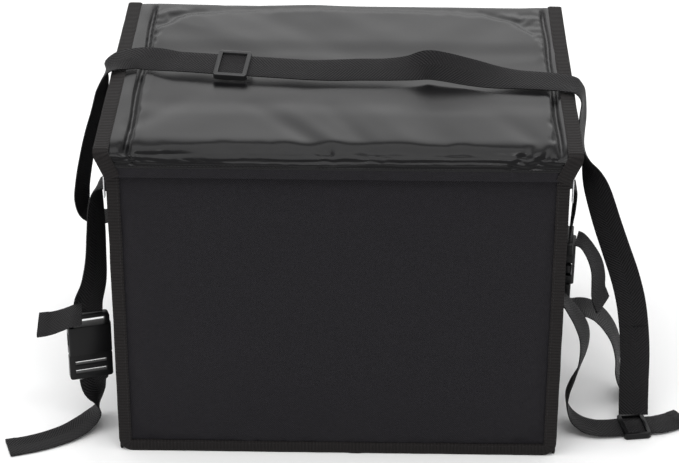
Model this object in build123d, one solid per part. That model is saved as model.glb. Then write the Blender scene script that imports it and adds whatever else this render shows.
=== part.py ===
from build123d import *
import math
import os

# An insulated food carrier: a soft box of padded, foil-lined panels with a wipe-clean lid,
# two side zips, a sling strap across the lid and a buckled tie-down strap on each side.
# Millimetres. +Z is up, the front faces -Y, and the origin is the base's centre on the floor.

# Overall sizes
BAG_W = 440.0           # across the front panel and its bindings
BAG_D = 350.0           # from the front binding's face to the back binding's face
BAG_H = 340.0           # from the floor to the lid's top
LID_STANDOUT = 11.0     # how far the lid's bindings stand out past the body's, on each side
LIP_H = 28.0            # height of the lid's front lip

# Sheet and panel thicknesses
COVER_T = 1.2           # outer fabric
FOAM_T = 14.0           # foam in every wall and in the lid
FOIL_T = 0.8            # foil liner
BOARD_T = 3.0           # stiffening board under the base foam
RIM_T = 1.5             # tape round the mouth of the body
GAP = 0.3               # air between neighbouring soft pieces that move apart
LIP_T = 2.4             # front lip, two layers and its seam
LID_FOAM_INSET = 2.5    # from the lid cover's side edge in to its foam

# Bound seams
BINDING_W = 12.5        # how much of the folded tape shows
BINDING_T = 3.5         # thickness of the bound seam
BINDING_PROUD = 0.5     # how far the lid's binding stands above its cover
LIP_BINDING_PROUD = 0.9     # and how far it stands out in front of the lip
SEAM_STANDOUT = 4.0     # how far the seams stand out past the side walls

# Webbing
WEB_W = 30.0
WEB_T = 1.8
PATCH_T = 2.0           # stitched patch that holds a strap's end
PATCH_L = 34.0
PATCH_MARGIN = 2.0      # patch beyond the webbing on each side
PATCH_DROP = 114.0      # from the lid's top down to the straps' patches
FLOOR_PATCH_DROP = 180.0    # and down to the floor webbing's patch
STRAP_FROM_FRONT = 63.0     # from the front face back to the middle of the left strap
RIGHT_STRAP_FROM_FRONT = 81.0
FLOOR_STRAP_SIDE = 40.0     # floor webbing's middle, in front of the right strap's
SLING_PATCH_Y = 31.0

# Zips
ZIP_DROP = 32.0         # from the lid's top down to the chain's centre line
ZIP_FRONT_IN = 9.0      # the chain's closed end, in from the front face
ZIP_BACK_IN = 47.0      # its open end, in from the back face
TAPE_TAIL = 12.0        # tape beyond the open end
TAPE_LAP = 0.9          # how far the lid's tape laps under the lid's binding
TAPE_T = 0.8
TAPE_OUT = 2.6          # the tape's inner face, out from the side wall
COIL_T = 2.6
COIL_H = 3.4            # one row of teeth
COIL_HALF_GAP = 0.8     # from the centre line to each row of teeth
HEM_H = 8.0
HEM_LOW = 18.0          # from the chain's centre line down to the hem's lower edge
SLIDER_L = 18.0
SLIDER_H = 11.6
SLIDER_WALL = 1.2
SLIDER_CLEAR = 0.3
SLIDER_STOP = 10.0      # the slider's centre from the chain's closed end, with the zip closed
CROWN_BAR_R = 0.8
CROWN_BAR_L = 10.0
PULL_EYE_CLEAR = 0.1
PULL_EYE_WALL = 1.2
PULL_EYE_L = 3.0
PULL_W = 6.0
PULL_T = 1.2
PULL_L = 27.0

# Hook-and-loop closure inside the lip
CLOSURE_L = 360.0
CLOSURE_H = 10.0
HOOK_T = 1.2

# Tri-glide on the sling strap
GLIDE_L = 34.0
GLIDE_RAIL = 3.9
GLIDE_BAR = 4.5
GLIDE_BAR_T = 2.0
GLIDE_CLEAR = 0.3
GLIDE_SIDE_CLEAR = 0.6
GLIDE_EDGE_R = 0.9
GLIDE_BAR_HALF = 3.0    # half the centre bar's width
LOCK_L = 28.0           # the floor lock's length
LOCK_CLEAR = 0.175

# Side-release buckle
BUCKLE_W = 44.0
BUCKLE_T = 13.0
SOCKET_L = 32.0
BUCKLE_WALL = 2.5
BUCKLE_LOOP = 12.0      # webbing loop above the socket
BUCKLE_BAR = 4.0
PLUG_L = 30.0           # plug base below the socket
PLUG_T = 7.0
PRONG_T = 6.0
PRONG_INSET = 1.7       # from the socket's side in to the prong's thumb pad
PLUG_GAP = 1.0          # between the socket's mouth and the plug's base
SLOT_H = 5.0            # webbing slots in the plug
SLOT_PITCH = 10.0
TONGUE_L = 22.0
TONGUE_W = 6.0
WINDOW_LOW = 9.0        # window in the socket's side, from its mouth
WINDOW_HIGH = 24.0

# The places that follow from the sizes above
HALF_W = BAG_W / 2
HALF_D = BAG_D / 2
SIDE_X = HALF_W - SEAM_STANDOUT             # outer face of a side wall
WALL_Y = HALF_D - BINDING_T                 # outer face of the front and back foam
PANEL_X = HALF_W - BINDING_W                # where a front or back panel meets its binding
FOAM_X = SIDE_X - COVER_T                   # outer face of the side foam
IN_X = FOAM_X - FOAM_T - FOIL_T             # inside of the compartment
IN_Y = WALL_Y - FOAM_T - FOIL_T
BOARD_TOP = COVER_T + BOARD_T
IN_Z = BOARD_TOP + FOAM_T + FOIL_T          # floor of the compartment
LID_UNDER = BAG_H - COVER_T - FOAM_T - FOIL_T
WALL_TOP = LID_UNDER - GAP
LID_X = HALF_W + LID_STANDOUT - BINDING_W   # where the lid's cover meets its side bindings
LID_FOAM_X = LID_X - LID_FOAM_INSET
LIP_BACK = -HALF_D - 0.5                    # inner face of the lip
LIP_END_GAP = 0.1       # between the two straight runs of the lid's binding
LIP_BOTTOM = BAG_H - LIP_H
LIP_SLOPE = LID_X - PANEL_X - 0.5           # how far the lip's ends lean in towards the bottom
HINGE_TAPE_Y = WALL_Y + COVER_T             # inner face of the fabric hinge
HINGE_DROP = 2.0        # from the lid's top down to the line that it turns on
HINGE_TAPE_H = 41.8
HINGE_Z = BAG_H - HINGE_DROP
LID_BACK = HINGE_TAPE_Y - GAP
BINDING_GAP = 0.2
ZIP_Z = BAG_H - ZIP_DROP
ZIP_FRONT = ZIP_FRONT_IN - HALF_D
ZIP_BACK = HALF_D - ZIP_BACK_IN
SLIDER_REST = ZIP_FRONT + SLIDER_STOP
TAPE_X = SIDE_X + TAPE_OUT
COIL_X = TAPE_X + TAPE_T / 2                # middle of the teeth's thickness
SLIDER_IN = COIL_X - COIL_T / 2 - SLIDER_CLEAR
SLIDER_OUT = COIL_X + COIL_T / 2 + SLIDER_CLEAR
PULL_EYE_R = CROWN_BAR_R + PULL_EYE_CLEAR
PULL_EYE_OUT_R = PULL_EYE_R + PULL_EYE_WALL
CROWN_X = SLIDER_OUT + SLIDER_WALL + PULL_EYE_OUT_R + 0.4
STRAP_OUT = PATCH_T + 0.05 + WEB_T / 2      # from the wall to a strap's middle on its patch
LEFT_STRAP_Y = STRAP_FROM_FRONT - HALF_D
RIGHT_STRAP_Y = RIGHT_STRAP_FROM_FRONT - HALF_D
FLOOR_STRAP_Y = RIGHT_STRAP_Y - FLOOR_STRAP_SIDE
PATCH_Z = BAG_H - PATCH_DROP                # lower edge of the straps' patches
FLOOR_PATCH_Z = BAG_H - FLOOR_PATCH_DROP
LID_STRAP_Z = BAG_H + 9.5                   # the sling strap's middle above the lid


def slab(x0, x1, y0, y1, z0, z1):
    """Block between two corners."""
    middle = Pos((x0 + x1) / 2, (y0 + y1) / 2, (z0 + z1) / 2)
    return middle * Box(x1 - x0, y1 - y0, z1 - z0)


def flip_x(shape):
    """The same piece on the other side of the bag."""
    return mirror(shape, about=Plane.YZ)


def flip_y(shape):
    """The same piece at the other end of the bag."""
    return mirror(shape, about=Plane.XZ)


def plate_xz(points, y0, y1):
    """Flat piece with an outline in X and Z, between two depths."""
    outline = Plane.XZ.offset(-y0) * make_face(Polyline(*points, close=True))
    return extrude(outline, amount=-(y1 - y0))


def save(name, *solids):
    """Write one named piece."""
    shape = solids[0] if len(solids) == 1 else Compound(list(solids))
    export_step(shape, f"parts/{name}.step")


def ribbon(stations, thickness=WEB_T, width=WEB_W):
    """Webbing as a ruled loft. A station is a middle point and the direction across the webbing."""
    points = [Vector(*point) for point, across in stations]
    last = len(points) - 1
    sections = []
    for index, (point, across) in enumerate(stations):
        before = points[max(index - 1, 0)]
        after = points[min(index + 1, last)]
        along = (after - before).normalized()
        side = Vector(*across)
        side = (side - along * side.dot(along)).normalized() * (width / 2)
        up = along.cross(side).normalized() * (thickness / 2)
        middle = points[index]
        corners = [middle + side + up, middle - side + up, middle - side - up, middle + side - up]
        sections.append(Wire.make_polygon(corners, close=True))
    return Solid.make_loft(sections, ruled=True)


def strap_length(stations):
    """Length along a strap's middle."""
    points = [Vector(*point) for point, across in stations]
    return sum((after - before).length for before, after in zip(points, points[1:]))


# Straps. Each station is a middle point and the direction across the webbing, front to rear.
# The routes are set out from the wall, the lid and the floor that the webbing lies on.

def lid_station(x, y, lift, tilt):
    """A station above the lid, with the rear edge raised by a tilt in degrees."""
    angle = math.radians(tilt)
    return ((x, y, LID_STRAP_Z + lift), (0, math.cos(angle), math.sin(angle)))


GLIDE_REST_X = -109.0
GLIDE_TILT = 15.0
DROP_X = HALF_W + 20.0      # how far out the sling strap hangs where it leaves the lid
STRAIGHT_FROM = (74.0 - DROP_X, 4.0)
STRAIGHT_TO = (-34.0, -13.0)
STRAIGHT_RUN = math.dist(STRAIGHT_FROM, STRAIGHT_TO)
STRAIGHT_X = (STRAIGHT_TO[0] - STRAIGHT_FROM[0]) / STRAIGHT_RUN
STRAIGHT_Y = (STRAIGHT_TO[1] - STRAIGHT_FROM[1]) / STRAIGHT_RUN


def straight_station(x):
    """A station on the straight stretch that the tri-glide slides along."""
    y = STRAIGHT_FROM[1] + (x - STRAIGHT_FROM[0]) * STRAIGHT_Y / STRAIGHT_X
    return lid_station(x, y, 0, GLIDE_TILT)


SLING_CUT_Z = BAG_H - 15.0  # below this height the sling strap hangs free of the lid
SLING_CUT_GAP = 1.2
SLING_DROP_Y = -38.0        # the sling strap's middle where it leaves the lid on the right

SLING_OVER_LID = [
    ((-DROP_X - 1, 0, SLING_CUT_Z + SLING_CUT_GAP), (0.30, 0.95, 0)),
    ((-DROP_X + 1, 0, BAG_H - 6), (0.15, 0.99, 0.05)),
    ((-DROP_X + 5, 2, BAG_H + 1.5), (0.05, 0.99, 0.1)),
    lid_station(14 - DROP_X, 8, -3.5, 12),
    lid_station(32 - DROP_X, 15, -2, 18),
    lid_station(52 - DROP_X, 10, -0.5, 22),
    straight_station(STRAIGHT_FROM[0]),
    straight_station(STRAIGHT_FROM[0] + 8),
    straight_station(STRAIGHT_TO[0] - 8),
    straight_station(STRAIGHT_TO[0]),
    lid_station(-8, -13, 0, 18),
    lid_station(18, -12, 0.5, 20),
    lid_station(46, -11, 0.5, 21),
    lid_station(68, -10, 2, 30),
    lid_station(86, -10, 5.5, 52),
    lid_station(102, -13, 5, 47),
    lid_station(124, -18, 2.5, 38),
    lid_station(DROP_X - 90, -24, 0, 24),
    lid_station(DROP_X - 64, -25, -2.5, 12),
    lid_station(DROP_X - 40, -27, -3, 10),
    lid_station(DROP_X - 20, -31, -3, 8),
    ((DROP_X - 7, -36, BAG_H + 5), (0.05, 0.99, 0.1)),
    ((DROP_X - 1, SLING_DROP_Y, BAG_H - 1), (0.15, 0.99, 0.05)),
    ((DROP_X + 0.5, SLING_DROP_Y, BAG_H - 9), (0.2, 0.98, 0)),
    ((DROP_X + 0.5, SLING_DROP_Y, SLING_CUT_Z + SLING_CUT_GAP), (0.25, 0.97, 0)),
]

FLOOR_WEB_Z = WEB_T / 2 + LOCK_CLEAR + GLIDE_BAR_T + 0.025      # webbing's middle in the floor lock
LOCK_AT = (SIDE_X + 87.0, FLOOR_STRAP_Y + 10.0)
LOCK_TURN = math.radians(9.0)
SLING_BEND_Z = BAG_H - 71.0     # where the sling strap turns away from the wall
SLING_LOOP_TOP = 96.0       # where it is doubled and stitched for its end loop
LEFT_BUCKLE_Z = 84.0        # heights of the sockets' mouths
RIGHT_BUCKLE_Z = BAG_H - 175.0
LEFT_SOCKET_TOP = LEFT_BUCKLE_Z + SOCKET_L + BUCKLE_LOOP
RIGHT_SOCKET_TOP = RIGHT_BUCKLE_Z + SOCKET_L + BUCKLE_LOOP
RIGHT_PLUG_LOW = RIGHT_BUCKLE_Z - PLUG_L
TAIL_GAP = 0.5 + WEB_W / 10     # room for the tail's slanted end below the plug


def between(high, low, share):
    """A value part of the way up from low to high."""
    return low + (high - low) * share


def left(out, y, z, across):
    """A station beside the left wall, a distance out from it."""
    return ((-SIDE_X - out, y, z), across)


def right(out, y, z, across):
    """A station beside the right wall, a distance out from it."""
    return ((SIDE_X + out, y, z), across)


def falling(out, y_share, z_share, across):
    """A station on the sling strap's slant from the lid down to the floor lock."""
    y = between(SLING_DROP_Y, LOCK_AT[1], y_share)
    z = between(SLING_BEND_Z, SLING_LOOP_TOP, z_share)
    return right(out, y, z, across)


SLING_LEFT = [
    left(25.1, 0, BAG_H - 15, (0.3, 0.95, 0)),
    left(30, 0, BAG_H - 38, (0.4, 0.91, 0)),
    left(37, 0, BAG_H - 62, (0.43, 0.9, 0)),
    left(44, 1, BAG_H - 90, (0.43, 0.9, 0)),
    left(50, 3, BAG_H - 120, (0.43, 0.9, 0)),
    left(53, 6, BAG_H - 145, (0.4, 0.92, 0)),
    left(50, 9, BAG_H - 163, (0.25, 0.96, 0)),
    left(39, 13, BAG_H - 173, (0, 1, 0)),
    left(25, 17, BAG_H - 173, (0, 1, 0)),
    left(14, 21, BAG_H - 162, (0, 1, 0)),
    left(7, 25, BAG_H - 143, (0, 1, 0)),
    left(STRAP_OUT + 1, 28, BAG_H - 122, (0, 1, 0)),
    left(STRAP_OUT, 30, BAG_H - 108, (0, 1, 0)),
    left(STRAP_OUT, 31, BAG_H - 86, (0, 1, 0)),
]

SLING_RIGHT = [
    right(24.5, -38, BAG_H - 15, (0.25, 0.97, 0)),
    right(25, -37, BAG_H - 35, (0.3, 0.95, 0)),
    right(26.5, -36, BAG_H - 54, (0.15, 0.99, 0)),
    right(30, -36, BAG_H - 71, (-0.2, 0.97, 0)),
    falling(36, 1, 0.913, (-0.6, 0.8, 0)),
    falling(43, 0.954, 0.798, (-0.85, 0.5, -0.1)),
    falling(55, 0.861, 0.59, (-0.93, 0.3, -0.2)),
    falling(65, 0.791, 0.433, (-0.95, 0.25, -0.2)),
    falling(74, 0.698, 0.295, (-0.96, 0.2, -0.18)),
    falling(81, 0.605, 0.15, (-0.98, 0.15, -0.1)),
    falling(85, 0.5, 0, (-1, 0.08, -0.03)),
]

SLING_LOOP = [
    right(85.2, between(SLING_DROP_Y, LOCK_AT[1], 0.489), SLING_LOOP_TOP - 2.5, (-1, 0.08, -0.03)),
    right(87, LOCK_AT[1] + 34, 68, (-1, 0, 0)),
    right(87, LOCK_AT[1] + 26, 43, (-1, 0, 0)),
    right(87, LOCK_AT[1] + 18, 22, (-1, 0, 0)),
    right(87, LOCK_AT[1] + 12, 9.5, (-1, 0, 0)),
]


def lock_station(along):
    """A station on the floor webbing's straight stretch through the lock."""
    x = LOCK_AT[0] + along * math.cos(LOCK_TURN)
    y = LOCK_AT[1] + along * math.sin(LOCK_TURN)
    return ((x, y, FLOOR_WEB_Z), (-math.sin(LOCK_TURN), math.cos(LOCK_TURN), 0))


FLOOR_WEBBING = [
    right(STRAP_OUT, FLOOR_STRAP_Y, FLOOR_PATCH_Z + 24, (0, 1, 0)),
    right(STRAP_OUT + 0.5, FLOOR_STRAP_Y, FLOOR_PATCH_Z + 6, (0, 1, 0)),
    right(STRAP_OUT + 9, FLOOR_STRAP_Y + 0.5, between(FLOOR_PATCH_Z, FLOOR_WEB_Z, 0.949), (0.1, 0.99, 0)),
    right(STRAP_OUT + 19, FLOOR_STRAP_Y + 2, between(FLOOR_PATCH_Z, FLOOR_WEB_Z, 0.847), (0.25, 0.97, 0)),
    right(STRAP_OUT + 27, FLOOR_STRAP_Y + 4, between(FLOOR_PATCH_Z, FLOOR_WEB_Z, 0.72), (0.35, 0.94, 0)),
    right(STRAP_OUT + 28, FLOOR_STRAP_Y + 6, between(FLOOR_PATCH_Z, FLOOR_WEB_Z, 0.579), (0.35, 0.94, 0)),
    right(STRAP_OUT + 23, FLOOR_STRAP_Y + 8, between(FLOOR_PATCH_Z, FLOOR_WEB_Z, 0.426), (0.25, 0.97, 0)),
    right(STRAP_OUT + 16, FLOOR_STRAP_Y + 10, between(FLOOR_PATCH_Z, FLOOR_WEB_Z, 0.286), (0.1, 0.99, 0)),
    right(STRAP_OUT + 14, FLOOR_STRAP_Y + 11, between(FLOOR_PATCH_Z, FLOOR_WEB_Z, 0.178), (0, 1, 0)),
    right(STRAP_OUT + 19, FLOOR_STRAP_Y + 10, between(FLOOR_PATCH_Z, FLOOR_WEB_Z, 0.082), (0, 1, 0)),
    right(STRAP_OUT + 30, FLOOR_STRAP_Y + 8, between(FLOOR_PATCH_Z, FLOOR_WEB_Z, 0.025), (-0.05, 1, 0)),
    right(STRAP_OUT + 44, FLOOR_STRAP_Y + 5, between(FLOOR_PATCH_Z, FLOOR_WEB_Z, 0.006), (-0.12, 0.99, 0)),
    lock_station(-24),
    lock_station(-18),
    lock_station(18),
    lock_station(24),
    right(STRAP_OUT + 123.05, FLOOR_STRAP_Y + 21, 2.4, (-0.4, 0.92, 0)),
    right(STRAP_OUT + 136.05, FLOOR_STRAP_Y + 29, 2.2, (-0.55, 0.83, 0)),
]

LEFT_SIDE_STRAP = [
    left(STRAP_OUT, LEFT_STRAP_Y, BAG_H - 100, (0, 1, 0)),
    left(STRAP_OUT, LEFT_STRAP_Y, BAG_H - 82, (0, 1, 0)),
    left(STRAP_OUT + 4, LEFT_STRAP_Y, BAG_H - 72, (0, 1, 0)),
    left(STRAP_OUT + 11, LEFT_STRAP_Y, BAG_H - 67.5, (0.05, 1, 0)),
    left(STRAP_OUT + 17.5, LEFT_STRAP_Y - 1, BAG_H - 71, (0.15, 0.99, 0)),
    left(STRAP_OUT + 20, LEFT_STRAP_Y - 2, BAG_H - 85, (0.35, 0.94, 0)),
    left(STRAP_OUT + 21, LEFT_STRAP_Y - 4, between(BAG_H - 85, LEFT_SOCKET_TOP, 0.764), (0.5, 0.87, 0)),
    left(STRAP_OUT + 22.5, LEFT_STRAP_Y - 6, between(BAG_H - 85, LEFT_SOCKET_TOP, 0.504), (0.6, 0.8, 0)),
    left(STRAP_OUT + 26, LEFT_STRAP_Y - 7, between(BAG_H - 85, LEFT_SOCKET_TOP, 0.268), (0.8, 0.6, 0)),
    left(STRAP_OUT + 32, LEFT_STRAP_Y - 8.3, LEFT_SOCKET_TOP + 13, (0.93, 0.37, 0)),
    left(STRAP_OUT + 33, LEFT_STRAP_Y - 8.5, LEFT_SOCKET_TOP + 1.5, (0.95, 0.31, 0)),
]

LEFT_STUB = [
    left(39, LEFT_STRAP_Y - 29, LEFT_SOCKET_TOP + 11, (0.1, 0.95, 0.3)),
    left(48, LEFT_STRAP_Y - 29, LEFT_SOCKET_TOP + 9, (0.05, 0.95, 0.3)),
    left(58, LEFT_STRAP_Y - 28, LEFT_SOCKET_TOP + 4, (0, 0.95, 0.3)),
    left(70, LEFT_STRAP_Y - 27, LEFT_SOCKET_TOP - 1, (0, 0.95, 0.35)),
    left(84, LEFT_STRAP_Y - 26, LEFT_SOCKET_TOP - 4, (0, 0.93, 0.38)),
]

LEFT_TAIL = [
    left(33.5, LEFT_STRAP_Y - 9, 52.5, (0.95, 0.31, 0)),
    left(33, LEFT_STRAP_Y - 8.8, 44, (0.8, 0.6, 0)),
    left(29.5, LEFT_STRAP_Y - 7, 30, (0.3, 0.95, 0)),
    left(31, LEFT_STRAP_Y - 10, 17, (-0.1, 0.99, 0)),
    left(40, LEFT_STRAP_Y - 19, 8, (-0.35, 0.93, 0)),
    left(56, LEFT_STRAP_Y - 34, 3.2, (-0.5, 0.86, 0)),
    left(74, LEFT_STRAP_Y - 46, 1.9, (-0.5, 0.86, 0)),
    left(94, LEFT_STRAP_Y - 56, 1.6, (-0.42, 0.9, 0)),
    left(117, LEFT_STRAP_Y - 64, 1.6, (-0.36, 0.93, 0)),
]

RIGHT_SIDE_STRAP = [
    right(STRAP_OUT, RIGHT_STRAP_Y, BAG_H - 100, (0, 1, 0)),
    right(STRAP_OUT, RIGHT_STRAP_Y, BAG_H - 83, (0, 1, 0)),
    right(STRAP_OUT + 3, RIGHT_STRAP_Y, BAG_H - 74, (0, 1, 0)),
    right(STRAP_OUT + 8, RIGHT_STRAP_Y, BAG_H - 70, (0, 1, 0)),
    right(STRAP_OUT + 13, RIGHT_STRAP_Y, BAG_H - 74, (0, 1, 0)),
    right(STRAP_OUT + 13.5, RIGHT_STRAP_Y, between(BAG_H - 74, RIGHT_SOCKET_TOP, 0.719), (0, 1, 0)),
    right(STRAP_OUT + 12, RIGHT_STRAP_Y, between(BAG_H - 74, RIGHT_SOCKET_TOP, 0.368), (0.05, 1, 0)),
    right(STRAP_OUT + 10.5, RIGHT_STRAP_Y, RIGHT_SOCKET_TOP + 3, (0.1, 0.99, 0)),
]

RIGHT_STUB = [
    right(20, RIGHT_STRAP_Y - 1, RIGHT_SOCKET_TOP - 2.5, (0.17, 0.98, 0)),
    right(25, RIGHT_STRAP_Y - 2, RIGHT_SOCKET_TOP - 4, (0.17, 0.98, 0)),
    right(33, RIGHT_STRAP_Y - 3, RIGHT_SOCKET_TOP - 14, (0.25, 0.97, 0)),
    right(41, RIGHT_STRAP_Y - 4, RIGHT_SOCKET_TOP - 31, (0.4, 0.92, 0)),
    right(44, RIGHT_STRAP_Y - 4, RIGHT_SOCKET_TOP - 49, (0.5, 0.86, 0)),
    right(45, RIGHT_STRAP_Y - 4, RIGHT_SOCKET_TOP - 63, (0.5, 0.86, 0)),
    right(50, RIGHT_STRAP_Y - 4, RIGHT_SOCKET_TOP - 77, (0.5, 0.86, 0)),
]

RIGHT_TAIL = [
    right(14.5, RIGHT_STRAP_Y + 2.5, RIGHT_PLUG_LOW - TAIL_GAP, (0.1, 0.99, 0)),
    right(16.5, RIGHT_STRAP_Y + 3.5, RIGHT_PLUG_LOW - 9, (0.1, 0.99, 0)),
    right(23, RIGHT_STRAP_Y + 7, RIGHT_PLUG_LOW - 13, (0.1, 0.99, 0)),
    right(32, RIGHT_STRAP_Y + 12, RIGHT_PLUG_LOW - 16.5, (0.15, 0.98, 0)),
    right(43, RIGHT_STRAP_Y + 19, between(RIGHT_PLUG_LOW, 0, 0.822), (0.2, 0.97, 0)),
    right(56, RIGHT_STRAP_Y + 26, between(RIGHT_PLUG_LOW, 0, 0.711), (0.25, 0.96, 0)),
    right(67, RIGHT_STRAP_Y + 31, between(RIGHT_PLUG_LOW, 0, 0.563), (0.25, 0.96, 0)),
    right(73, RIGHT_STRAP_Y + 33, between(RIGHT_PLUG_LOW, 0, 0.4), (0.25, 0.96, 0)),
    right(74, RIGHT_STRAP_Y + 34, between(RIGHT_PLUG_LOW, 0, 0.237), (0.2, 0.97, 0)),
    right(79, RIGHT_STRAP_Y + 35, between(RIGHT_PLUG_LOW, 0, 0.111), (0.1, 0.99, 0)),
    right(89, RIGHT_STRAP_Y + 36, between(RIGHT_PLUG_LOW, 0, 0.037), (0, 1, 0)),
    right(102, RIGHT_STRAP_Y + 37, between(RIGHT_PLUG_LOW, 0, 0.013), (0, 1, 0)),
]


def wall_panels():
    """Foam, outer covers and base of the body."""
    low = BINDING_W + BINDING_GAP
    panel = slab(-PANEL_X + BINDING_GAP, PANEL_X - BINDING_GAP, -WALL_Y - COVER_T, -WALL_Y, low, WALL_TOP)
    save("front_cover", panel)
    save("back_cover", flip_y(panel))
    side = slab(FOAM_X, SIDE_X, -WALL_Y, WALL_Y, COVER_T, WALL_TOP)
    save("right_side_cover", side)
    save("left_side_cover", flip_x(side))
    save("base_cover", slab(-SIDE_X, SIDE_X, -WALL_Y, WALL_Y, 0, COVER_T))
    save("base_board", slab(-FOAM_X, FOAM_X, -WALL_Y, WALL_Y, COVER_T, BOARD_TOP))
    foam_top = WALL_TOP - RIM_T
    foam_y = WALL_Y - FOAM_T
    foam = slab(-FOAM_X, FOAM_X, -WALL_Y, -foam_y, BOARD_TOP, foam_top)
    save("front_foam", foam)
    save("back_foam", flip_y(foam))
    side_foam = slab(FOAM_X - FOAM_T, FOAM_X, -foam_y, foam_y, BOARD_TOP, foam_top)
    save("right_foam", side_foam)
    save("left_foam", flip_x(side_foam))
    foam_x = FOAM_X - FOAM_T
    save("base_foam", slab(-foam_x, foam_x, -foam_y, foam_y, BOARD_TOP, BOARD_TOP + FOAM_T))


def foil_liner():
    """Foil bag that lines the compartment: four walls and a floor."""
    floor_low = IN_Z - FOIL_T
    front = slab(-IN_X, IN_X, -IN_Y - FOIL_T, -IN_Y, IN_Z, WALL_TOP - RIM_T)
    side = slab(IN_X, IN_X + FOIL_T, -IN_Y - FOIL_T, IN_Y + FOIL_T, IN_Z, WALL_TOP - RIM_T)
    bottom = slab(-IN_X - FOIL_T, IN_X + FOIL_T, -IN_Y - FOIL_T, IN_Y + FOIL_T, floor_low, IN_Z)
    save("foil_liner", front, flip_y(front), side, flip_x(side), bottom)


def bindings():
    """Bound seams round the front and back panels, the base and the mouth."""
    inner = HALF_W - BINDING_W
    upright = slab(inner, HALF_W, -HALF_D, -WALL_Y, 0, WALL_TOP)
    bottom = slab(-inner, inner, -HALF_D, -WALL_Y, 0, BINDING_W)
    save("front_binding", upright, flip_x(upright), bottom)
    save("back_binding", flip_y(upright), flip_x(flip_y(upright)), flip_y(bottom))
    base_edge = slab(SIDE_X, SIDE_X + BINDING_T, -WALL_Y, WALL_Y, 0, BINDING_W)
    save("side_base_binding", base_edge, flip_x(base_edge))
    rim_low = WALL_TOP - RIM_T
    front_rim = slab(-FOAM_X, FOAM_X, -WALL_Y, -IN_Y, rim_low, WALL_TOP)
    side_rim = slab(IN_X, FOAM_X, -IN_Y, IN_Y, rim_low, WALL_TOP)
    save("rim_binding", front_rim, flip_y(front_rim), side_rim, flip_x(side_rim))


def lid():
    """Lid panels, front lip and side bindings."""
    front = LIP_BACK - LIP_T
    under_cover = BAG_H - COVER_T
    save("lid_cover", slab(-LID_X, LID_X, front, LID_BACK, under_cover, BAG_H))
    foam_low = under_cover - FOAM_T
    save("lid_foam", slab(-LID_FOAM_X, LID_FOAM_X, LIP_BACK + GAP, LID_BACK, foam_low, under_cover))
    save("lid_foil", slab(-LID_FOAM_X, LID_FOAM_X, LIP_BACK + GAP, LID_BACK, LID_UNDER, foam_low))
    bottom_x = LID_X - LIP_SLOPE
    flange_low = BAG_H - BINDING_T
    flange_high = BAG_H + BINDING_PROUD
    binding_front = front - LIP_BINDING_PROUD
    lip_top_x = LID_X - BINDING_GAP
    lip_low_x = bottom_x - BINDING_GAP
    lip_points = [(-lip_top_x, under_cover), (lip_top_x, under_cover), (lip_top_x, flange_low),
                  (lip_low_x, LIP_BOTTOM), (-lip_low_x, LIP_BOTTOM), (-lip_top_x, flange_low)]
    save("lid_front_lip", plate_xz(lip_points, front, LIP_BACK))
    flange = slab(LID_X, LID_X + BINDING_W, binding_front, LID_BACK, flange_low, flange_high)
    end_top = flange_low - LIP_END_GAP
    end_points = [(LID_X, end_top), (LID_X + BINDING_W, end_top),
                  (bottom_x + BINDING_W, LIP_BOTTOM), (bottom_x, LIP_BOTTOM)]
    lip_end = plate_xz(end_points, binding_front, LIP_BACK + LIP_END_GAP)
    save("right_lid_binding", flange, lip_end)
    save("left_lid_binding", flip_x(flange), flip_x(lip_end))


def closure():
    """Hook strip on the front panel and loop strip inside the lip."""
    top = WALL_TOP - 0.7
    hook_back = -WALL_Y - COVER_T
    hook = slab(-CLOSURE_L / 2, CLOSURE_L / 2, hook_back - HOOK_T, hook_back, top - CLOSURE_H, top)
    loop_back = hook_back - HOOK_T - GAP
    loop = slab(-CLOSURE_L / 2, CLOSURE_L / 2, LIP_BACK, loop_back, top - CLOSURE_H, top)
    save("hook_strip", hook)
    save("loop_strip", loop)


def fabric_hinge():
    """Folded tape along the top of the back panel, which the lid turns on."""
    x = PANEL_X - BINDING_GAP
    top = HINGE_Z - 0.2
    save("hinge_tape", slab(-x, x, HINGE_TAPE_Y, HINGE_TAPE_Y + COVER_T, top - HINGE_TAPE_H, top))


def zip_tapes():
    """Zip tapes and rows of teeth, fixed to the body below the chain and to the lid above it."""
    row_low = ZIP_Z - COIL_HALF_GAP - COIL_H
    row_high = ZIP_Z + COIL_HALF_GAP + COIL_H
    hem_low = ZIP_Z - HEM_LOW
    tape_end = ZIP_BACK + TAPE_TAIL
    hem = slab(SIDE_X, TAPE_X + TAPE_T, ZIP_FRONT, tape_end, hem_low, hem_low + HEM_H)
    tape = slab(TAPE_X, TAPE_X + TAPE_T, ZIP_FRONT, tape_end, hem_low + HEM_H, row_low)
    body_tape = hem + tape
    flange_low = BAG_H - BINDING_T
    lid_tape = slab(TAPE_X, TAPE_X + TAPE_T, ZIP_FRONT, tape_end, row_high, flange_low)
    lap_x = max(TAPE_X + TAPE_T, LID_X + TAPE_LAP)
    lid_tape = lid_tape + slab(TAPE_X, lap_x, ZIP_FRONT, tape_end, flange_low - TAPE_T, flange_low)
    half = COIL_T / 2
    body_row = slab(COIL_X - half, COIL_X + half, ZIP_FRONT, ZIP_BACK, row_low, row_low + COIL_H)
    lid_row = slab(COIL_X - half, COIL_X + half, ZIP_FRONT, ZIP_BACK, row_high - COIL_H, row_high)
    pieces = {"zip_tape": body_tape, "zip_teeth": body_row}
    pieces.update({"lid_zip_tape": lid_tape, "lid_zip_teeth": lid_row})
    for name, piece in pieces.items():
        save(f"right_{name}", piece)
        save(f"left_{name}", flip_x(piece))


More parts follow.
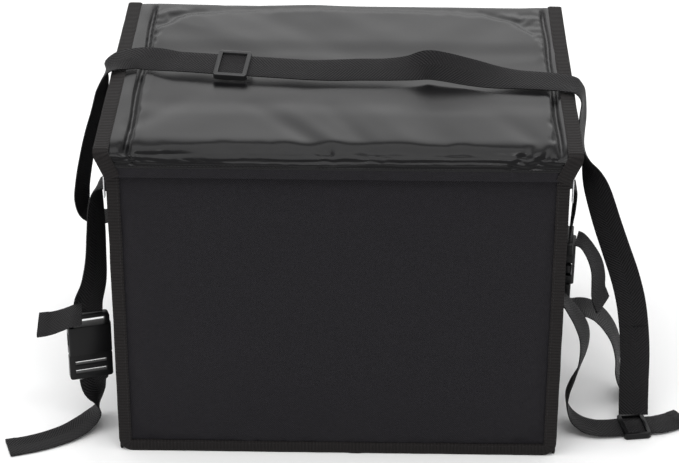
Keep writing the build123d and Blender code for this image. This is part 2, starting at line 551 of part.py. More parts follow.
def zip_slider():
    """Slider: two plates joined by a web between the rows of teeth, and a crown that holds the pull."""
    y0 = SLIDER_REST - SLIDER_L / 2
    y1 = SLIDER_REST + SLIDER_L / 2
    low = ZIP_Z - SLIDER_H / 2
    high = ZIP_Z + SLIDER_H / 2
    nose = SLIDER_H * 0.3
    plate = slab(SLIDER_OUT, SLIDER_OUT + SLIDER_WALL, y0, y1, low, high)
    plate = chamfer(plate.edges().filter_by(Axis.X), length=nose * 0.6)
    inner = slab(SLIDER_IN - SLIDER_WALL, SLIDER_IN, y0, y1, low, high)
    inner = chamfer(inner.edges().filter_by(Axis.X), length=nose * 0.6)
    web_half = COIL_HALF_GAP - SLIDER_CLEAR
    web = slab(SLIDER_IN, SLIDER_OUT, y0, y0 + 4, ZIP_Z - web_half, ZIP_Z + web_half)
    bar = Pos(CROWN_X, SLIDER_REST, ZIP_Z) * Rot(90, 0, 0) * Cylinder(CROWN_BAR_R, CROWN_BAR_L)
    body = plate + inner + web + bar
    for end in (-1, 1):
        y = SLIDER_REST + end * (CROWN_BAR_L / 2 - 1)
        post = slab(SLIDER_OUT + SLIDER_WALL, CROWN_X + CROWN_BAR_R, y - 1, y + 1, ZIP_Z - 1.4, ZIP_Z + 1.4)
        body = body + post
    return body


def zip_pull():
    """Pull tab with an eye round the crown's bar, hanging down."""
    place = Pos(CROWN_X, SLIDER_REST, ZIP_Z) * Rot(90, 0, 0)
    top = ZIP_Z - PULL_EYE_R - PULL_EYE_WALL / 2
    tab = slab(CROWN_X - PULL_T / 2, CROWN_X + PULL_T / 2, SLIDER_REST - PULL_W / 2, SLIDER_REST + PULL_W / 2,
               top - PULL_L, top - 2.5)
    tab = fillet(tab.edges().filter_by(Axis.X), radius=PULL_W * 0.3)
    neck = slab(CROWN_X - PULL_T / 2, CROWN_X + PULL_T / 2, SLIDER_REST - PULL_EYE_L / 2,
                SLIDER_REST + PULL_EYE_L / 2, top - 4, top)
    hole_z = top - PULL_L + PULL_W * 0.55
    hole = Pos(CROWN_X, SLIDER_REST, hole_z) * Rot(0, 90, 0) * Cylinder(PULL_W * 0.22, PULL_T * 3)
    pull = tab + neck + place * Cylinder(PULL_EYE_OUT_R, PULL_EYE_L)
    return pull - hole - place * Cylinder(PULL_EYE_R, PULL_EYE_L * 2)


def zips():
    """Both zips, mirrored."""
    zip_tapes()
    slider = zip_slider()
    pull = zip_pull()
    save("right_zip_slider", slider)
    save("left_zip_slider", flip_x(slider))
    save("right_zip_pull", pull)
    save("left_zip_pull", flip_x(pull))


def tri_glide(length, clear_z):
    """Adjuster frame: two rails, two side bars above the webbing and one centre bar below it."""
    inner_y = WEB_W / 2 + GLIDE_SIDE_CLEAR
    outer_y = inner_y + GLIDE_RAIL
    web_face = WEB_T / 2 + clear_z
    top = web_face + GLIDE_BAR_T
    frame = slab(-length / 2, length / 2, -outer_y, outer_y, -top, top)
    frame = fillet(frame.edges().filter_by(Axis.Z), radius=GLIDE_RAIL)
    frame = fillet(frame.edges().group_by(Axis.Z)[-1], radius=GLIDE_EDGE_R)
    frame = frame - slab(-length, length, -inner_y, inner_y, -web_face, web_face)
    window = length / 2 - GLIDE_BAR
    frame = frame - slab(-window, window, -inner_y, inner_y, web_face, top * 2)
    for side in (-1, 1):
        reach = sorted((side * GLIDE_BAR_HALF, side * length))
        frame = frame - slab(reach[0], reach[1], -inner_y, inner_y, -top * 2, -web_face)
    return frame


def sling_glide():
    """Tri-glide on the straight stretch of the sling strap."""
    middle, across = straight_station(GLIDE_REST_X)
    along = Vector(STRAIGHT_X, STRAIGHT_Y, 0)
    side = Vector(*across)
    side = (side - along * side.dot(along)).normalized()
    place = Plane(origin=middle, x_dir=along, z_dir=along.cross(side))
    save("sling_glide", place * tri_glide(GLIDE_L, GLIDE_CLEAR))


def floor_lock():
    """Ladder lock at the end of the sling strap, lying on the floor."""
    place = Plane(origin=(*LOCK_AT, FLOOR_WEB_Z), x_dir=(math.cos(LOCK_TURN), math.sin(LOCK_TURN), 0),
                  z_dir=(0, 0, 1))
    save("floor_lock", place * tri_glide(LOCK_L, LOCK_CLEAR))


def buckle_socket():
    """Socket half: a flat sleeve with a window in each side and a webbing loop on top."""
    half_w = BUCKLE_W / 2
    half_t = BUCKLE_T / 2
    inner_w = half_w - BUCKLE_WALL
    inner_t = half_t - BUCKLE_WALL
    shell = slab(-half_w, half_w, -half_t, half_t, 0, SOCKET_L)
    shell = fillet(shell.edges().filter_by(Axis.Z), radius=3)
    shell = shell - slab(-inner_w, inner_w, -inner_t, inner_t, -1, SOCKET_L - BUCKLE_WALL)
    shell = shell - slab(-half_w * 2, half_w * 2, -inner_t, inner_t, WINDOW_LOW, WINDOW_HIGH)
    loop_top = SOCKET_L + BUCKLE_LOOP
    loop_t = PLUG_T / 2
    loop = slab(-half_w + 1, half_w - 1, -loop_t, loop_t, SOCKET_L, loop_top)
    loop = fillet(loop.edges().filter_by(Axis.Y).group_by(Axis.Z)[-1], radius=4)
    slot_x = WEB_W / 2 + 1
    slot = slab(-slot_x, slot_x, -half_t, half_t, SOCKET_L, loop_top - BUCKLE_BAR)
    return shell + (loop - slot)


def buckle_plug():
    """Plug half: a base with two webbing slots and a guide tongue between the prongs."""
    half_w = BUCKLE_W / 2
    half_t = PLUG_T / 2
    base = slab(-half_w, half_w, -half_t, half_t, -PLUG_L, -PLUG_GAP)
    base = fillet(base.edges().filter_by(Axis.Y), radius=3)
    slot_x = WEB_W / 2 + 1
    for row in (0, 1):
        slot_low = -PLUG_L + 6 + row * SLOT_PITCH
        base = base - slab(-slot_x, slot_x, -BUCKLE_T, BUCKLE_T, slot_low, slot_low + SLOT_H)
    tongue = slab(-TONGUE_W / 2, TONGUE_W / 2, -PRONG_T / 2, PRONG_T / 2, -PLUG_GAP, TONGUE_L)
    return base + tongue


def buckle_prong():
    """One spring prong, on the +X side, hinged at its root."""
    pad = BUCKLE_W / 2 - PRONG_INSET
    outline = [(8, -0.7), (11, -0.7), (13, 8), (pad, 11), (pad, 18), (16, 22), (12.5, 22), (10.5, 11)]
    return plate_xz(outline, -PRONG_T / 2, PRONG_T / 2)


def buckle(side, place):
    """A whole buckle at its place on one side of the bag."""
    save(f"{side}_buckle_socket", place * buckle_socket())
    save(f"{side}_buckle_plug", place * buckle_plug())
    prong = buckle_prong()
    save(f"{side}_buckle_outer_prong", place * (prong if side == "right" else flip_x(prong)))
    save(f"{side}_buckle_inner_prong", place * (flip_x(prong) if side == "right" else prong))


def strap_patches():
    """Stitched patches on the side walls that hold the straps' ends."""
    half = WEB_W / 2 + PATCH_MARGIN
    out = SIDE_X + PATCH_T
    left_one = slab(-out, -SIDE_X, LEFT_STRAP_Y - half, LEFT_STRAP_Y + half, PATCH_Z, PATCH_Z + PATCH_L)
    sling_one = slab(-out, -SIDE_X, SLING_PATCH_Y - half, SLING_PATCH_Y + half, PATCH_Z, PATCH_Z + PATCH_L)
    right_one = slab(SIDE_X, out, RIGHT_STRAP_Y - half, RIGHT_STRAP_Y + half, PATCH_Z, PATCH_Z + PATCH_L)
    floor_top = FLOOR_PATCH_Z + PATCH_L
    floor_one = slab(SIDE_X, out, FLOOR_STRAP_Y - half, FLOOR_STRAP_Y + half, FLOOR_PATCH_Z, floor_top)
    save("left_strap_patches", left_one, sling_one)
    save("right_strap_patches", right_one, floor_one)


def straps():
    """Every length of webbing."""
    routes = {
        "sling_over_lid": (SLING_OVER_LID, WEB_T),
        "sling_left": (SLING_LEFT, WEB_T),
        "sling_right": (SLING_RIGHT, WEB_T),
        "sling_end_loop": (SLING_LOOP, 2 * WEB_T),
        "floor_webbing": (FLOOR_WEBBING, WEB_T),
        "left_side_strap": (LEFT_SIDE_STRAP, WEB_T),
        "left_strap_stub": (LEFT_STUB, WEB_T),
        "left_strap_tail": (LEFT_TAIL, WEB_T),
        "right_side_strap": (RIGHT_SIDE_STRAP, WEB_T),
        "right_strap_stub": (RIGHT_STUB, WEB_T),
        "right_strap_tail": (RIGHT_TAIL, WEB_T),
    }
    for name, (stations, thickness) in routes.items():
        webbing = ribbon(stations, thickness)
        length = strap_length(stations)
        fullness = webbing.volume / (length * WEB_W * thickness)
        print(f"{name}: {length:.0f} mm long, volume over section times length {fullness:.3f}")
        save(name, webbing)


LEFT_BUCKLE_AT = (-SIDE_X - 36.0, LEFT_STRAP_Y - 8.5, LEFT_BUCKLE_Z)
LEFT_BUCKLE_TURN = 17.5
RIGHT_BUCKLE_AT = (SIDE_X + 13.5, RIGHT_STRAP_Y + 2.0, RIGHT_BUCKLE_Z)
RIGHT_BUCKLE_TURN = 84.0


def main():
    """Build and write every piece."""
    os.makedirs("parts", exist_ok=True)
    wall_panels()
    foil_liner()
    bindings()
    lid()
    closure()
    fabric_hinge()
    zips()
    sling_glide()
    floor_lock()
    buckle("left", Pos(*LEFT_BUCKLE_AT) * Rot(0, 0, LEFT_BUCKLE_TURN))
    buckle("right", Pos(*RIGHT_BUCKLE_AT) * Rot(0, 0, RIGHT_BUCKLE_TURN))
    strap_patches()
    straps()


main()
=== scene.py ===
import logging
import math
from dataclasses import dataclass
from enum import Enum
from typing import Callable, Iterable, Optional, Sequence

import bmesh
import bpy
import numpy as np
from mathutils import Matrix, Vector, noise


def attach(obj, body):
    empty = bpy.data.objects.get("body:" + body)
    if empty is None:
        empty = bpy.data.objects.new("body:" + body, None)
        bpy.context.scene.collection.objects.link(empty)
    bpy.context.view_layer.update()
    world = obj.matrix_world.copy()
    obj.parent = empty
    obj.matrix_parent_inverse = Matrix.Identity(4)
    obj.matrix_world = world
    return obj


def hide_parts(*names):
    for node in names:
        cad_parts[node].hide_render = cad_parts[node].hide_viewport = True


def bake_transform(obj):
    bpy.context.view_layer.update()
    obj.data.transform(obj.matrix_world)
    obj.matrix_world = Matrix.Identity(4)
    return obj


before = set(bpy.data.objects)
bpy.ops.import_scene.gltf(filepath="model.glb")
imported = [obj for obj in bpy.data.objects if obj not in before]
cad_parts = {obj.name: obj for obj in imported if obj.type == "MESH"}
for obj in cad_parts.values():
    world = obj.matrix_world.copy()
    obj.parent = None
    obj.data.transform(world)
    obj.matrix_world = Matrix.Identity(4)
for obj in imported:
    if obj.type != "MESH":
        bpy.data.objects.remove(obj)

# An insulated food carrier: padded foil-lined walls, a wipe-clean lid that folds over the front,
# two side zips, a long sling strap and a buckled tie-down strap on each side. Metres, +Z up,
# the front faces -Y and the origin is the middle of the base on the floor.

LOG = logging.getLogger("carrier")
LOG.setLevel(logging.INFO)
SIDES = {"left": -1.0, "right": 1.0}

# Routes of the webbing: a middle point and the direction across it, station by station.
SLING_ROUTE = (
    (-0.2189, 0.0310, 0.2540, 0.00, 1.00, 0.00),
    (-0.2189, 0.0300, 0.2320, 0.00, 1.00, 0.00),
    (-0.2199, 0.0280, 0.2180, 0.00, 1.00, 0.00),
    (-0.2230, 0.0250, 0.1970, 0.00, 1.00, 0.00),
    (-0.2300, 0.0210, 0.1780, 0.00, 1.00, 0.00),
    (-0.2410, 0.0170, 0.1670, 0.00, 1.00, 0.00),
    (-0.2550, 0.0130, 0.1670, 0.00, 1.00, 0.00),
    (-0.2660, 0.0090, 0.1770, 0.25, 0.96, 0.00),
    (-0.2690, 0.0060, 0.1950, 0.40, 0.92, 0.00),
    (-0.2660, 0.0030, 0.2200, 0.43, 0.90, 0.00),
    (-0.2600, 0.0010, 0.2500, 0.43, 0.90, 0.00),
    (-0.2530, 0.0000, 0.2780, 0.43, 0.90, 0.00),
    (-0.2460, 0.0000, 0.3020, 0.40, 0.91, 0.00),
    (-0.2411, 0.0000, 0.3250, 0.30, 0.95, 0.00),
    (-0.2390, 0.0000, 0.3340, 0.15, 0.99, 0.05),
    (-0.2350, 0.0020, 0.3415, 0.05, 0.99, 0.10),
    (-0.2260, 0.0080, 0.3460, 0.00, 0.98, 0.21),
    (-0.2080, 0.0150, 0.3475, 0.00, 0.95, 0.31),
    (-0.1880, 0.0100, 0.3490, 0.00, 0.93, 0.37),
    (-0.1660, 0.0040, 0.3495, 0.00, 0.97, 0.26),
    (-0.1580, 0.0030, 0.3495, 0.00, 0.97, 0.26),
    (-0.0420, -0.0120, 0.3495, 0.00, 0.97, 0.26),
    (-0.0340, -0.0130, 0.3495, 0.00, 0.97, 0.26),
    (-0.0080, -0.0130, 0.3495, 0.00, 0.95, 0.31),
    (0.0180, -0.0120, 0.3500, 0.00, 0.94, 0.34),
    (0.0460, -0.0110, 0.3500, 0.00, 0.93, 0.36),
    (0.0680, -0.0100, 0.3515, 0.00, 0.87, 0.50),
    (0.0860, -0.0100, 0.3550, 0.00, 0.62, 0.79),
    (0.1020, -0.0130, 0.3545, 0.00, 0.68, 0.73),
    (0.1240, -0.0180, 0.3520, 0.00, 0.79, 0.62),
    (0.1500, -0.0240, 0.3495, 0.00, 0.91, 0.41),
    (0.1760, -0.0250, 0.3470, 0.00, 0.98, 0.21),
    (0.2000, -0.0270, 0.3465, 0.00, 0.98, 0.17),
    (0.2200, -0.0310, 0.3465, 0.00, 0.99, 0.14),
    (0.2330, -0.0360, 0.3450, 0.05, 0.99, 0.10),
    (0.2390, -0.0380, 0.3390, 0.15, 0.99, 0.05),
    (0.2405, -0.0380, 0.3310, 0.20, 0.98, 0.00),
    (0.2405, -0.0380, 0.3250, 0.25, 0.97, 0.00),
    (0.2410, -0.0370, 0.3050, 0.30, 0.95, 0.00),
    (0.2425, -0.0360, 0.2860, 0.15, 0.99, 0.00),
    (0.2460, -0.0360, 0.2690, -0.20, 0.97, 0.00),
    (0.2520, -0.0380, 0.2539, -0.60, 0.80, 0.00),
    (0.2590, -0.0420, 0.2341, -0.85, 0.50, -0.10),
    (0.2710, -0.0500, 0.1981, -0.93, 0.30, -0.20),
    (0.2810, -0.0560, 0.1709, -0.95, 0.25, -0.20),
    (0.2900, -0.0640, 0.1470, -0.96, 0.20, -0.18),
    (0.2970, -0.0720, 0.1220, -0.98, 0.15, -0.10),
    (0.3010, -0.0810, 0.0960, -1.00, 0.08, -0.03),
    (0.3030, -0.0900, 0.0680, -1.00, 0.00, 0.00),
    (0.3030, -0.0980, 0.0430, -1.00, 0.00, 0.00),
    (0.3030, -0.1060, 0.0220, -1.00, 0.00, 0.00),
    (0.3030, -0.1120, 0.0095, -1.00, 0.00, 0.00),
)

FLOOR_WEBBING_ROUTE = (
    (0.2189, -0.1340, 0.1840, 0.00, 1.00, 0.00),
    (0.2194, -0.1340, 0.1660, 0.00, 1.00, 0.00),
    (0.2279, -0.1335, 0.1520, 0.10, 0.99, 0.00),
    (0.2379, -0.1320, 0.1360, 0.25, 0.97, 0.00),
    (0.2460, -0.1300, 0.1161, 0.35, 0.94, 0.00),
    (0.2469, -0.1280, 0.0939, 0.35, 0.94, 0.00),
    (0.2419, -0.1260, 0.0699, 0.25, 0.97, 0.00),
    (0.2349, -0.1240, 0.0480, 0.10, 0.99, 0.00),
    (0.2329, -0.1230, 0.0310, 0.00, 1.00, 0.00),
    (0.2379, -0.1240, 0.0160, 0.00, 1.00, 0.00),
    (0.2489, -0.1260, 0.0070, -0.05, 1.00, 0.00),
    (0.2629, -0.1290, 0.0040, -0.12, 0.99, 0.00),
    (0.2793, -0.1278, 0.0031, -0.16, 0.99, 0.00),
    (0.2852, -0.1268, 0.0031, -0.16, 0.99, 0.00),
    (0.3208, -0.1212, 0.0031, -0.16, 0.99, 0.00),
    (0.3267, -0.1202, 0.0031, -0.16, 0.99, 0.00),
    (0.3420, -0.1130, 0.0024, -0.40, 0.92, 0.00),
    (0.3550, -0.1050, 0.0022, -0.55, 0.83, 0.00),
)

LEFT_SIDE_STRAP_ROUTE = (
    (-0.2189, -0.1120, 0.2400, 0.00, 1.00, 0.00),
    (-0.2189, -0.1120, 0.2580, 0.00, 1.00, 0.00),
    (-0.2229, -0.1120, 0.2680, 0.00, 1.00, 0.00),
    (-0.2299, -0.1120, 0.2725, 0.05, 1.00, 0.00),
    (-0.2364, -0.1130, 0.2690, 0.15, 0.99, 0.00),
    (-0.2389, -0.1140, 0.2550, 0.35, 0.94, 0.00),
    (-0.2399, -0.1160, 0.2250, 0.50, 0.87, 0.00),
    (-0.2414, -0.1180, 0.1920, 0.60, 0.80, 0.00),
    (-0.2450, -0.1190, 0.1620, 0.80, 0.60, 0.00),
    (-0.2510, -0.1203, 0.1410, 0.93, 0.37, 0.00),
    (-0.2520, -0.1205, 0.1295, 0.95, 0.31, 0.00),
)

LEFT_STUB_ROUTE = (
    (-0.2550, -0.1410, 0.1390, 0.10, 0.95, 0.30),
    (-0.2640, -0.1410, 0.1370, 0.05, 0.95, 0.30),
    (-0.2740, -0.1400, 0.1320, 0.00, 0.95, 0.30),
    (-0.2860, -0.1390, 0.1270, 0.00, 0.95, 0.35),
    (-0.3000, -0.1380, 0.1240, 0.00, 0.93, 0.38),
)

LEFT_TAIL_ROUTE = (
    (-0.2495, -0.1210, 0.0525, 0.95, 0.31, 0.00),
    (-0.2490, -0.1208, 0.0440, 0.80, 0.60, 0.00),
    (-0.2455, -0.1190, 0.0300, 0.30, 0.95, 0.00),
    (-0.2470, -0.1220, 0.0170, -0.10, 0.99, 0.00),
    (-0.2560, -0.1310, 0.0080, -0.35, 0.93, 0.00),
    (-0.2720, -0.1460, 0.0032, -0.50, 0.86, 0.00),
    (-0.2900, -0.1580, 0.0019, -0.50, 0.86, 0.00),
    (-0.3100, -0.1680, 0.0016, -0.42, 0.90, 0.00),
    (-0.3330, -0.1760, 0.0016, -0.36, 0.93, 0.00),
)

RIGHT_SIDE_STRAP_ROUTE = (
    (0.2189, -0.0940, 0.2400, 0.00, 1.00, 0.00),
    (0.2189, -0.0940, 0.2570, 0.00, 1.00, 0.00),
    (0.2219, -0.0940, 0.2660, 0.00, 1.00, 0.00),
    (0.2269, -0.0940, 0.2700, 0.00, 1.00, 0.00),
    (0.2319, -0.0940, 0.2660, 0.00, 1.00, 0.00),
    (0.2324, -0.0940, 0.2500, 0.00, 1.00, 0.00),
    (0.2309, -0.0940, 0.2300, 0.05, 1.00, 0.00),
    (0.2294, -0.0940, 0.2120, 0.10, 0.99, 0.00),
)

RIGHT_STUB_ROUTE = (
    (0.2360, -0.0950, 0.2065, 0.17, 0.98, 0.00),
    (0.2410, -0.0960, 0.2050, 0.17, 0.98, 0.00),
    (0.2490, -0.0970, 0.1950, 0.25, 0.97, 0.00),
    (0.2570, -0.0980, 0.1780, 0.40, 0.92, 0.00),
    (0.2600, -0.0980, 0.1600, 0.50, 0.86, 0.00),
    (0.2610, -0.0980, 0.1460, 0.50, 0.86, 0.00),
    (0.2660, -0.0980, 0.1320, 0.50, 0.86, 0.00),
)

RIGHT_TAIL_ROUTE = (
    (0.2305, -0.0915, 0.1315, 0.10, 0.99, 0.00),
    (0.2325, -0.0905, 0.1260, 0.10, 0.99, 0.00),
    (0.2390, -0.0870, 0.1220, 0.10, 0.99, 0.00),
    (0.2480, -0.0820, 0.1185, 0.15, 0.98, 0.00),
    (0.2590, -0.0750, 0.1110, 0.20, 0.97, 0.00),
    (0.2720, -0.0680, 0.0960, 0.25, 0.96, 0.00),
    (0.2830, -0.0630, 0.0760, 0.25, 0.96, 0.00),
    (0.2890, -0.0610, 0.0540, 0.25, 0.96, 0.00),
    (0.2900, -0.0600, 0.0320, 0.20, 0.97, 0.00),
    (0.2950, -0.0590, 0.0150, 0.10, 0.99, 0.00),
    (0.3050, -0.0580, 0.0050, 0.00, 1.00, 0.00),
    (0.3180, -0.0570, 0.0018, 0.00, 1.00, 0.00),
)
SLING_LEFT_END = 13
SLING_OVER_END = 37
SLING_RIGHT_END = 47
WEB_WIDTH = 0.030

# Where the straps' ends pull at the side walls: side, depth and height.
STRAP_ENDS = ((-1, -0.112, 0.243), (-1, 0.031, 0.243), (1, -0.094, 0.243), (1, -0.134, 0.177))

# Folds of the lid's top: one end, the other end, width and height.
LID_FOLDS = (
    ((-0.010, -0.170), (-0.085, -0.075), 0.011, -0.0016),
    ((0.004, -0.170), (-0.052, -0.085), 0.010, 0.0011),
    ((0.032, -0.168), (-0.010, -0.080), 0.010, -0.0014),
    ((0.075, -0.166), (0.020, -0.070), 0.013, 0.0008),
    ((0.110, -0.165), (0.060, -0.060), 0.016, -0.0008),
    ((-0.190, 0.150), (-0.060, 0.035), 0.020, 0.0013),
    ((-0.110, 0.165), (0.010, 0.040), 0.018, -0.0012),
    ((-0.030, 0.168), (0.060, 0.070), 0.022, 0.0010),
    ((0.180, 0.150), (0.090, 0.020), 0.024, -0.0009),
    ((-0.195, -0.120), (-0.150, -0.060), 0.012, -0.0010),
    ((0.190, -0.155), (0.150, -0.090), 0.012, -0.0011),
)

# Pinches of the lip: place along it, width, depth and slant.
LIP_PINCHES = (
    (-0.0100, 0.0030, 0.0026, 0.6),
    (-0.0020, 0.0030, -0.0009, 0.5),
    (0.0310, 0.0040, 0.0018, 0.3),
    (0.0460, 0.0030, 0.0010, -0.4),
    (0.1740, 0.0045, 0.0036, 1.1),
    (0.1830, 0.0035, -0.0010, 1.1),
    (0.1940, 0.0040, 0.0022, 0.8),
    (-0.2010, 0.0035, 0.0030, -0.8),
    (-0.1930, 0.0040, -0.0009, -0.8),
    (-0.1620, 0.0050, 0.0012, -0.5),
    (0.1100, 0.0060, 0.0008, 0.4),
    (-0.0900, 0.0070, 0.0007, -0.3),
)

# Creases along the lip: height, width and depth.
LIP_CREASES = ((0.3350, 0.0014, 0.0010), (0.3300, 0.0013, 0.0012), (0.3262, 0.0011, 0.0010))


# ---------------------------------------------------------------- small tools

def only(*objects: bpy.types.Object) -> None:
    """Select these objects and nothing else, the last one active."""
    if bpy.context.mode != "OBJECT":
        bpy.ops.object.mode_set(mode="OBJECT")
    bpy.ops.object.select_all(action="DESELECT")
    for obj in objects:
        obj.select_set(True)
        bpy.context.view_layer.objects.active = obj


def apply_modifier(obj: bpy.types.Object, kind: str, **settings: object) -> None:
    """Add one modifier with its settings and apply it.

    Args:
        obj: The mesh to change.
        kind: The modifier's type.
        settings: Values for the modifier's own properties.
    """
    only(obj)
    modifier = obj.modifiers.new(kind.title(), kind)
    for key, value in settings.items():
        setattr(modifier, key, value)
    bpy.ops.object.modifier_apply(modifier=modifier.name)


def settle(obj: bpy.types.Object) -> None:
    """Put the object at the origin, unturned and unscaled, with its place in its mesh."""
    only(obj)
    bpy.ops.object.transform_apply(location=True, rotation=True, scale=True)


def block(name: str, low: Sequence[float], high: Sequence[float]) -> bpy.types.Object:
    """Add a block between two corners, ready to be shaped.

    Args:
        name: The new object's name.
        low: Its lowest corner.
        high: Its highest corner.

    Returns:
        The block.
    """
    if bpy.context.mode != "OBJECT":
        bpy.ops.object.mode_set(mode="OBJECT")
    bpy.ops.object.select_all(action="DESELECT")
    middle = [(a + b) / 2 for a, b in zip(low, high)]
    bpy.ops.mesh.primitive_cube_add(size=1, location=middle)
    obj = bpy.context.object
    obj.name = name
    obj.scale = [b - a for a, b in zip(low, high)]
    settle(obj)
    return obj


def edit_faces(obj: bpy.types.Object, wanted: Callable[[Vector, Vector], bool]) -> None:
    """Enter edit mode with only the wanted faces selected.

    Args:
        obj: The mesh to edit.
        wanted: Says, from a face's centre and normal, whether it is selected.
    """
    only(obj)
    bpy.ops.object.mode_set(mode="EDIT")
    bpy.ops.mesh.select_mode(type="FACE")
    bpy.ops.mesh.select_all(action="DESELECT")
    mesh = bmesh.from_edit_mesh(obj.data)
    for face in mesh.faces:
        face.select_set(wanted(face.calc_center_median(), face.normal))
    bmesh.update_edit_mesh(obj.data)


def leave_edit() -> None:
    """Return to object mode."""
    bpy.ops.object.mode_set(mode="OBJECT")


def outward(obj: bpy.types.Object) -> None:
    """Merge doubled points and turn every face of a closed shape outwards."""
    only(obj)
    bpy.ops.object.mode_set(mode="EDIT")
    bpy.ops.mesh.select_all(action="SELECT")
    bpy.ops.mesh.remove_doubles(threshold=0.00002)
    bpy.ops.mesh.normals_make_consistent(inside=False)
    leave_edit()


def smooth(obj: bpy.types.Object, degrees: float = 35.0) -> None:
    """Shade smooth, keeping edges sharper than an angle."""
    only(obj)
    bpy.ops.object.shade_smooth_by_angle(angle=math.radians(degrees))


def coordinates(obj: bpy.types.Object) -> np.ndarray:
    """The places of a mesh's points, one row each."""
    flat = np.empty(len(obj.data.vertices) * 3)
    obj.data.vertices.foreach_get("co", flat)
    return flat.reshape(-1, 3)


def place_points(obj: bpy.types.Object, points: np.ndarray) -> None:
    """Move a mesh's points to new places."""
    obj.data.vertices.foreach_set("co", points.reshape(-1))
    obj.data.update()


def point_normals(obj: bpy.types.Object) -> np.ndarray:
    """The normals at a mesh's points, one row each."""
    return np.array([list(v.normal) for v in obj.data.vertices])


def mesh_object(name: str, points: Iterable[Sequence[float]],
                faces: Iterable[Sequence[int]]) -> bpy.types.Object:
    """Make an object from points and faces."""
    mesh = bpy.data.meshes.new(name)
    mesh.from_pydata([tuple(p) for p in points], [], [tuple(f) for f in faces])
    mesh.update()
    obj = bpy.data.objects.new(name, mesh)
    bpy.context.scene.collection.objects.link(obj)
    return obj


def ripple(points: np.ndarray, size: float, seed: float) -> np.ndarray:
    """Smooth noise between about -1 and 1 at each point.

    Args:
        points: Places, one row each.
        size: How far apart the bumps are, in metres.
        seed: Shifts the pattern, so that pieces differ.
    """
    shift = Vector((seed * 7.3, seed * 3.1, seed * 5.7))
    return np.array([noise.noise(Vector(p) / size + shift) for p in points])


def crease(points: np.ndarray, start: Sequence[float], end: Sequence[float], width: float) -> np.ndarray:
    """How strongly each point lies on a crease, 1 on its line and 0 away from it.

    Args:
        points: Places, one row each.
        start: One end of the crease.
        end: The other end.
        width: Half of the crease's width.
    """
    a, b = np.array(start), np.array(end)
    run = b - a
    share = np.clip((points - a) @ run / (run @ run), 0, 1)
    away = np.linalg.norm(points - (a + share[:, None] * run), axis=1)
    fade = np.clip(1.15 - 0.9 * share, 0, 1)
    return np.exp(-(away / width) ** 2) * fade


def step(low: float, high: float, values: np.ndarray) -> np.ndarray:
    """Smooth rise from 0 at one value to 1 at another."""
    t = np.clip((values - low) / (high - low), 0, 1)
    return t * t * (3 - 2 * t)


def scatter(name: str, model: bpy.types.Object, places: Sequence[Matrix]) -> bpy.types.Object:
    """Copy one modelled piece to many places, as one mesh, and remove the model.

    Args:
        name: The new object's name.
        model: The piece to copy.
        places: Where each copy goes.

    Returns:
        The row of copies.
    """
    shape = coordinates(model)
    faces = [list(p.vertices) for p in model.data.polygons]
    points: list = []
    polygons: list = []
    for index, place in enumerate(places):
        turned = shape @ np.array(place.to_3x3()).T + np.array(place.translation)
        points.extend(turned.tolist())
        polygons.extend([[v + index * len(shape) for v in face] for face in faces])
    bpy.data.objects.remove(model)
    return mesh_object(name, points, polygons)


def loft(name: str, rings: np.ndarray, close_start: bool = False, close_end: bool = False,
         ladder: bool = False) -> bpy.types.Object:
    """Join closed rings of points into a skin.

    Args:
        name: The new object's name.
        rings: Points by ring, by place round the ring, by axis.
        close_start: Whether the first ring is filled.
        close_end: Whether the last ring is filled.
        ladder: Whether an end is filled with strips from side to side, not with one face.

    Returns:
        The skin; its faces are not turned outwards here.
    """
    count, size = rings.shape[:2]
    faces = []
    for ring in range(count - 1):
        for k in range(size):
            after = (k + 1) % size
            low, high = ring * size, (ring + 1) * size
            faces.append((low + k, low + after, high + after, high + k))
    for wanted, first in ((close_start, 0), (close_end, (count - 1) * size)):
        if wanted and ladder:
            faces += [(first + k, first + k + 1, first + size - 2 - k, first + size - 1 - k)
                      for k in range((size - 1) // 2)]
        elif wanted:
            faces.append(tuple(range(first, first + size)))
    return mesh_object(name, rings.reshape(-1, 3), faces)


def rounded_ring(half_x: float, half_y: float, radius: float, z: float, spacing: float,
                 like: Optional[tuple] = None) -> np.ndarray:
    """Points round a rectangle with rounded corners.

    Args:
        half_x: Half of its size in X.
        half_y: Half of its size in Y.
        radius: Its corner radius.
        z: Its height.
        spacing: Wanted distance between the points.
        like: Counts along X, along Y and round a corner, to match another ring.

    Returns:
        The points, anticlockwise from the front right corner's end.
    """
    nx, ny, nc = like or ring_counts(half_x, half_y, spacing)
    corners = [(1, -1, -90), (1, 1, 0), (-1, 1, 90), (-1, -1, 180)]
    points = []
    for sx, sy, angle in corners:
        cx, cy = sx * (half_x - radius), sy * (half_y - radius)
        for k in range(nc + 1):
            turn = math.radians(angle + 90 * k / nc)
            points.append((cx + radius * math.cos(turn), cy + radius * math.sin(turn), z))
        along = (0, 1, 0) if (sx, sy) == (1, -1) else (-1, 0, 0) if (sx, sy) == (1, 1) else (
            (0, -1, 0) if (sx, sy) == (-1, 1) else (1, 0, 0))
        runs, length = (ny, 2 * (half_y - radius)) if along[0] == 0 else (nx, 2 * (half_x - radius))
        last = points[-1]
        for k in range(1, runs):
            points.append(tuple(last[i] + along[i] * length * k / runs for i in range(3)))
    return np.array(points)


def ring_counts(half_x: float, half_y: float, spacing: float) -> tuple:
    """How many runs a rounded ring has along X, along Y and round a corner."""
    return round(2 * half_x / spacing), round(2 * half_y / spacing), 4


# ---------------------------------------------------------------- webbing and tape

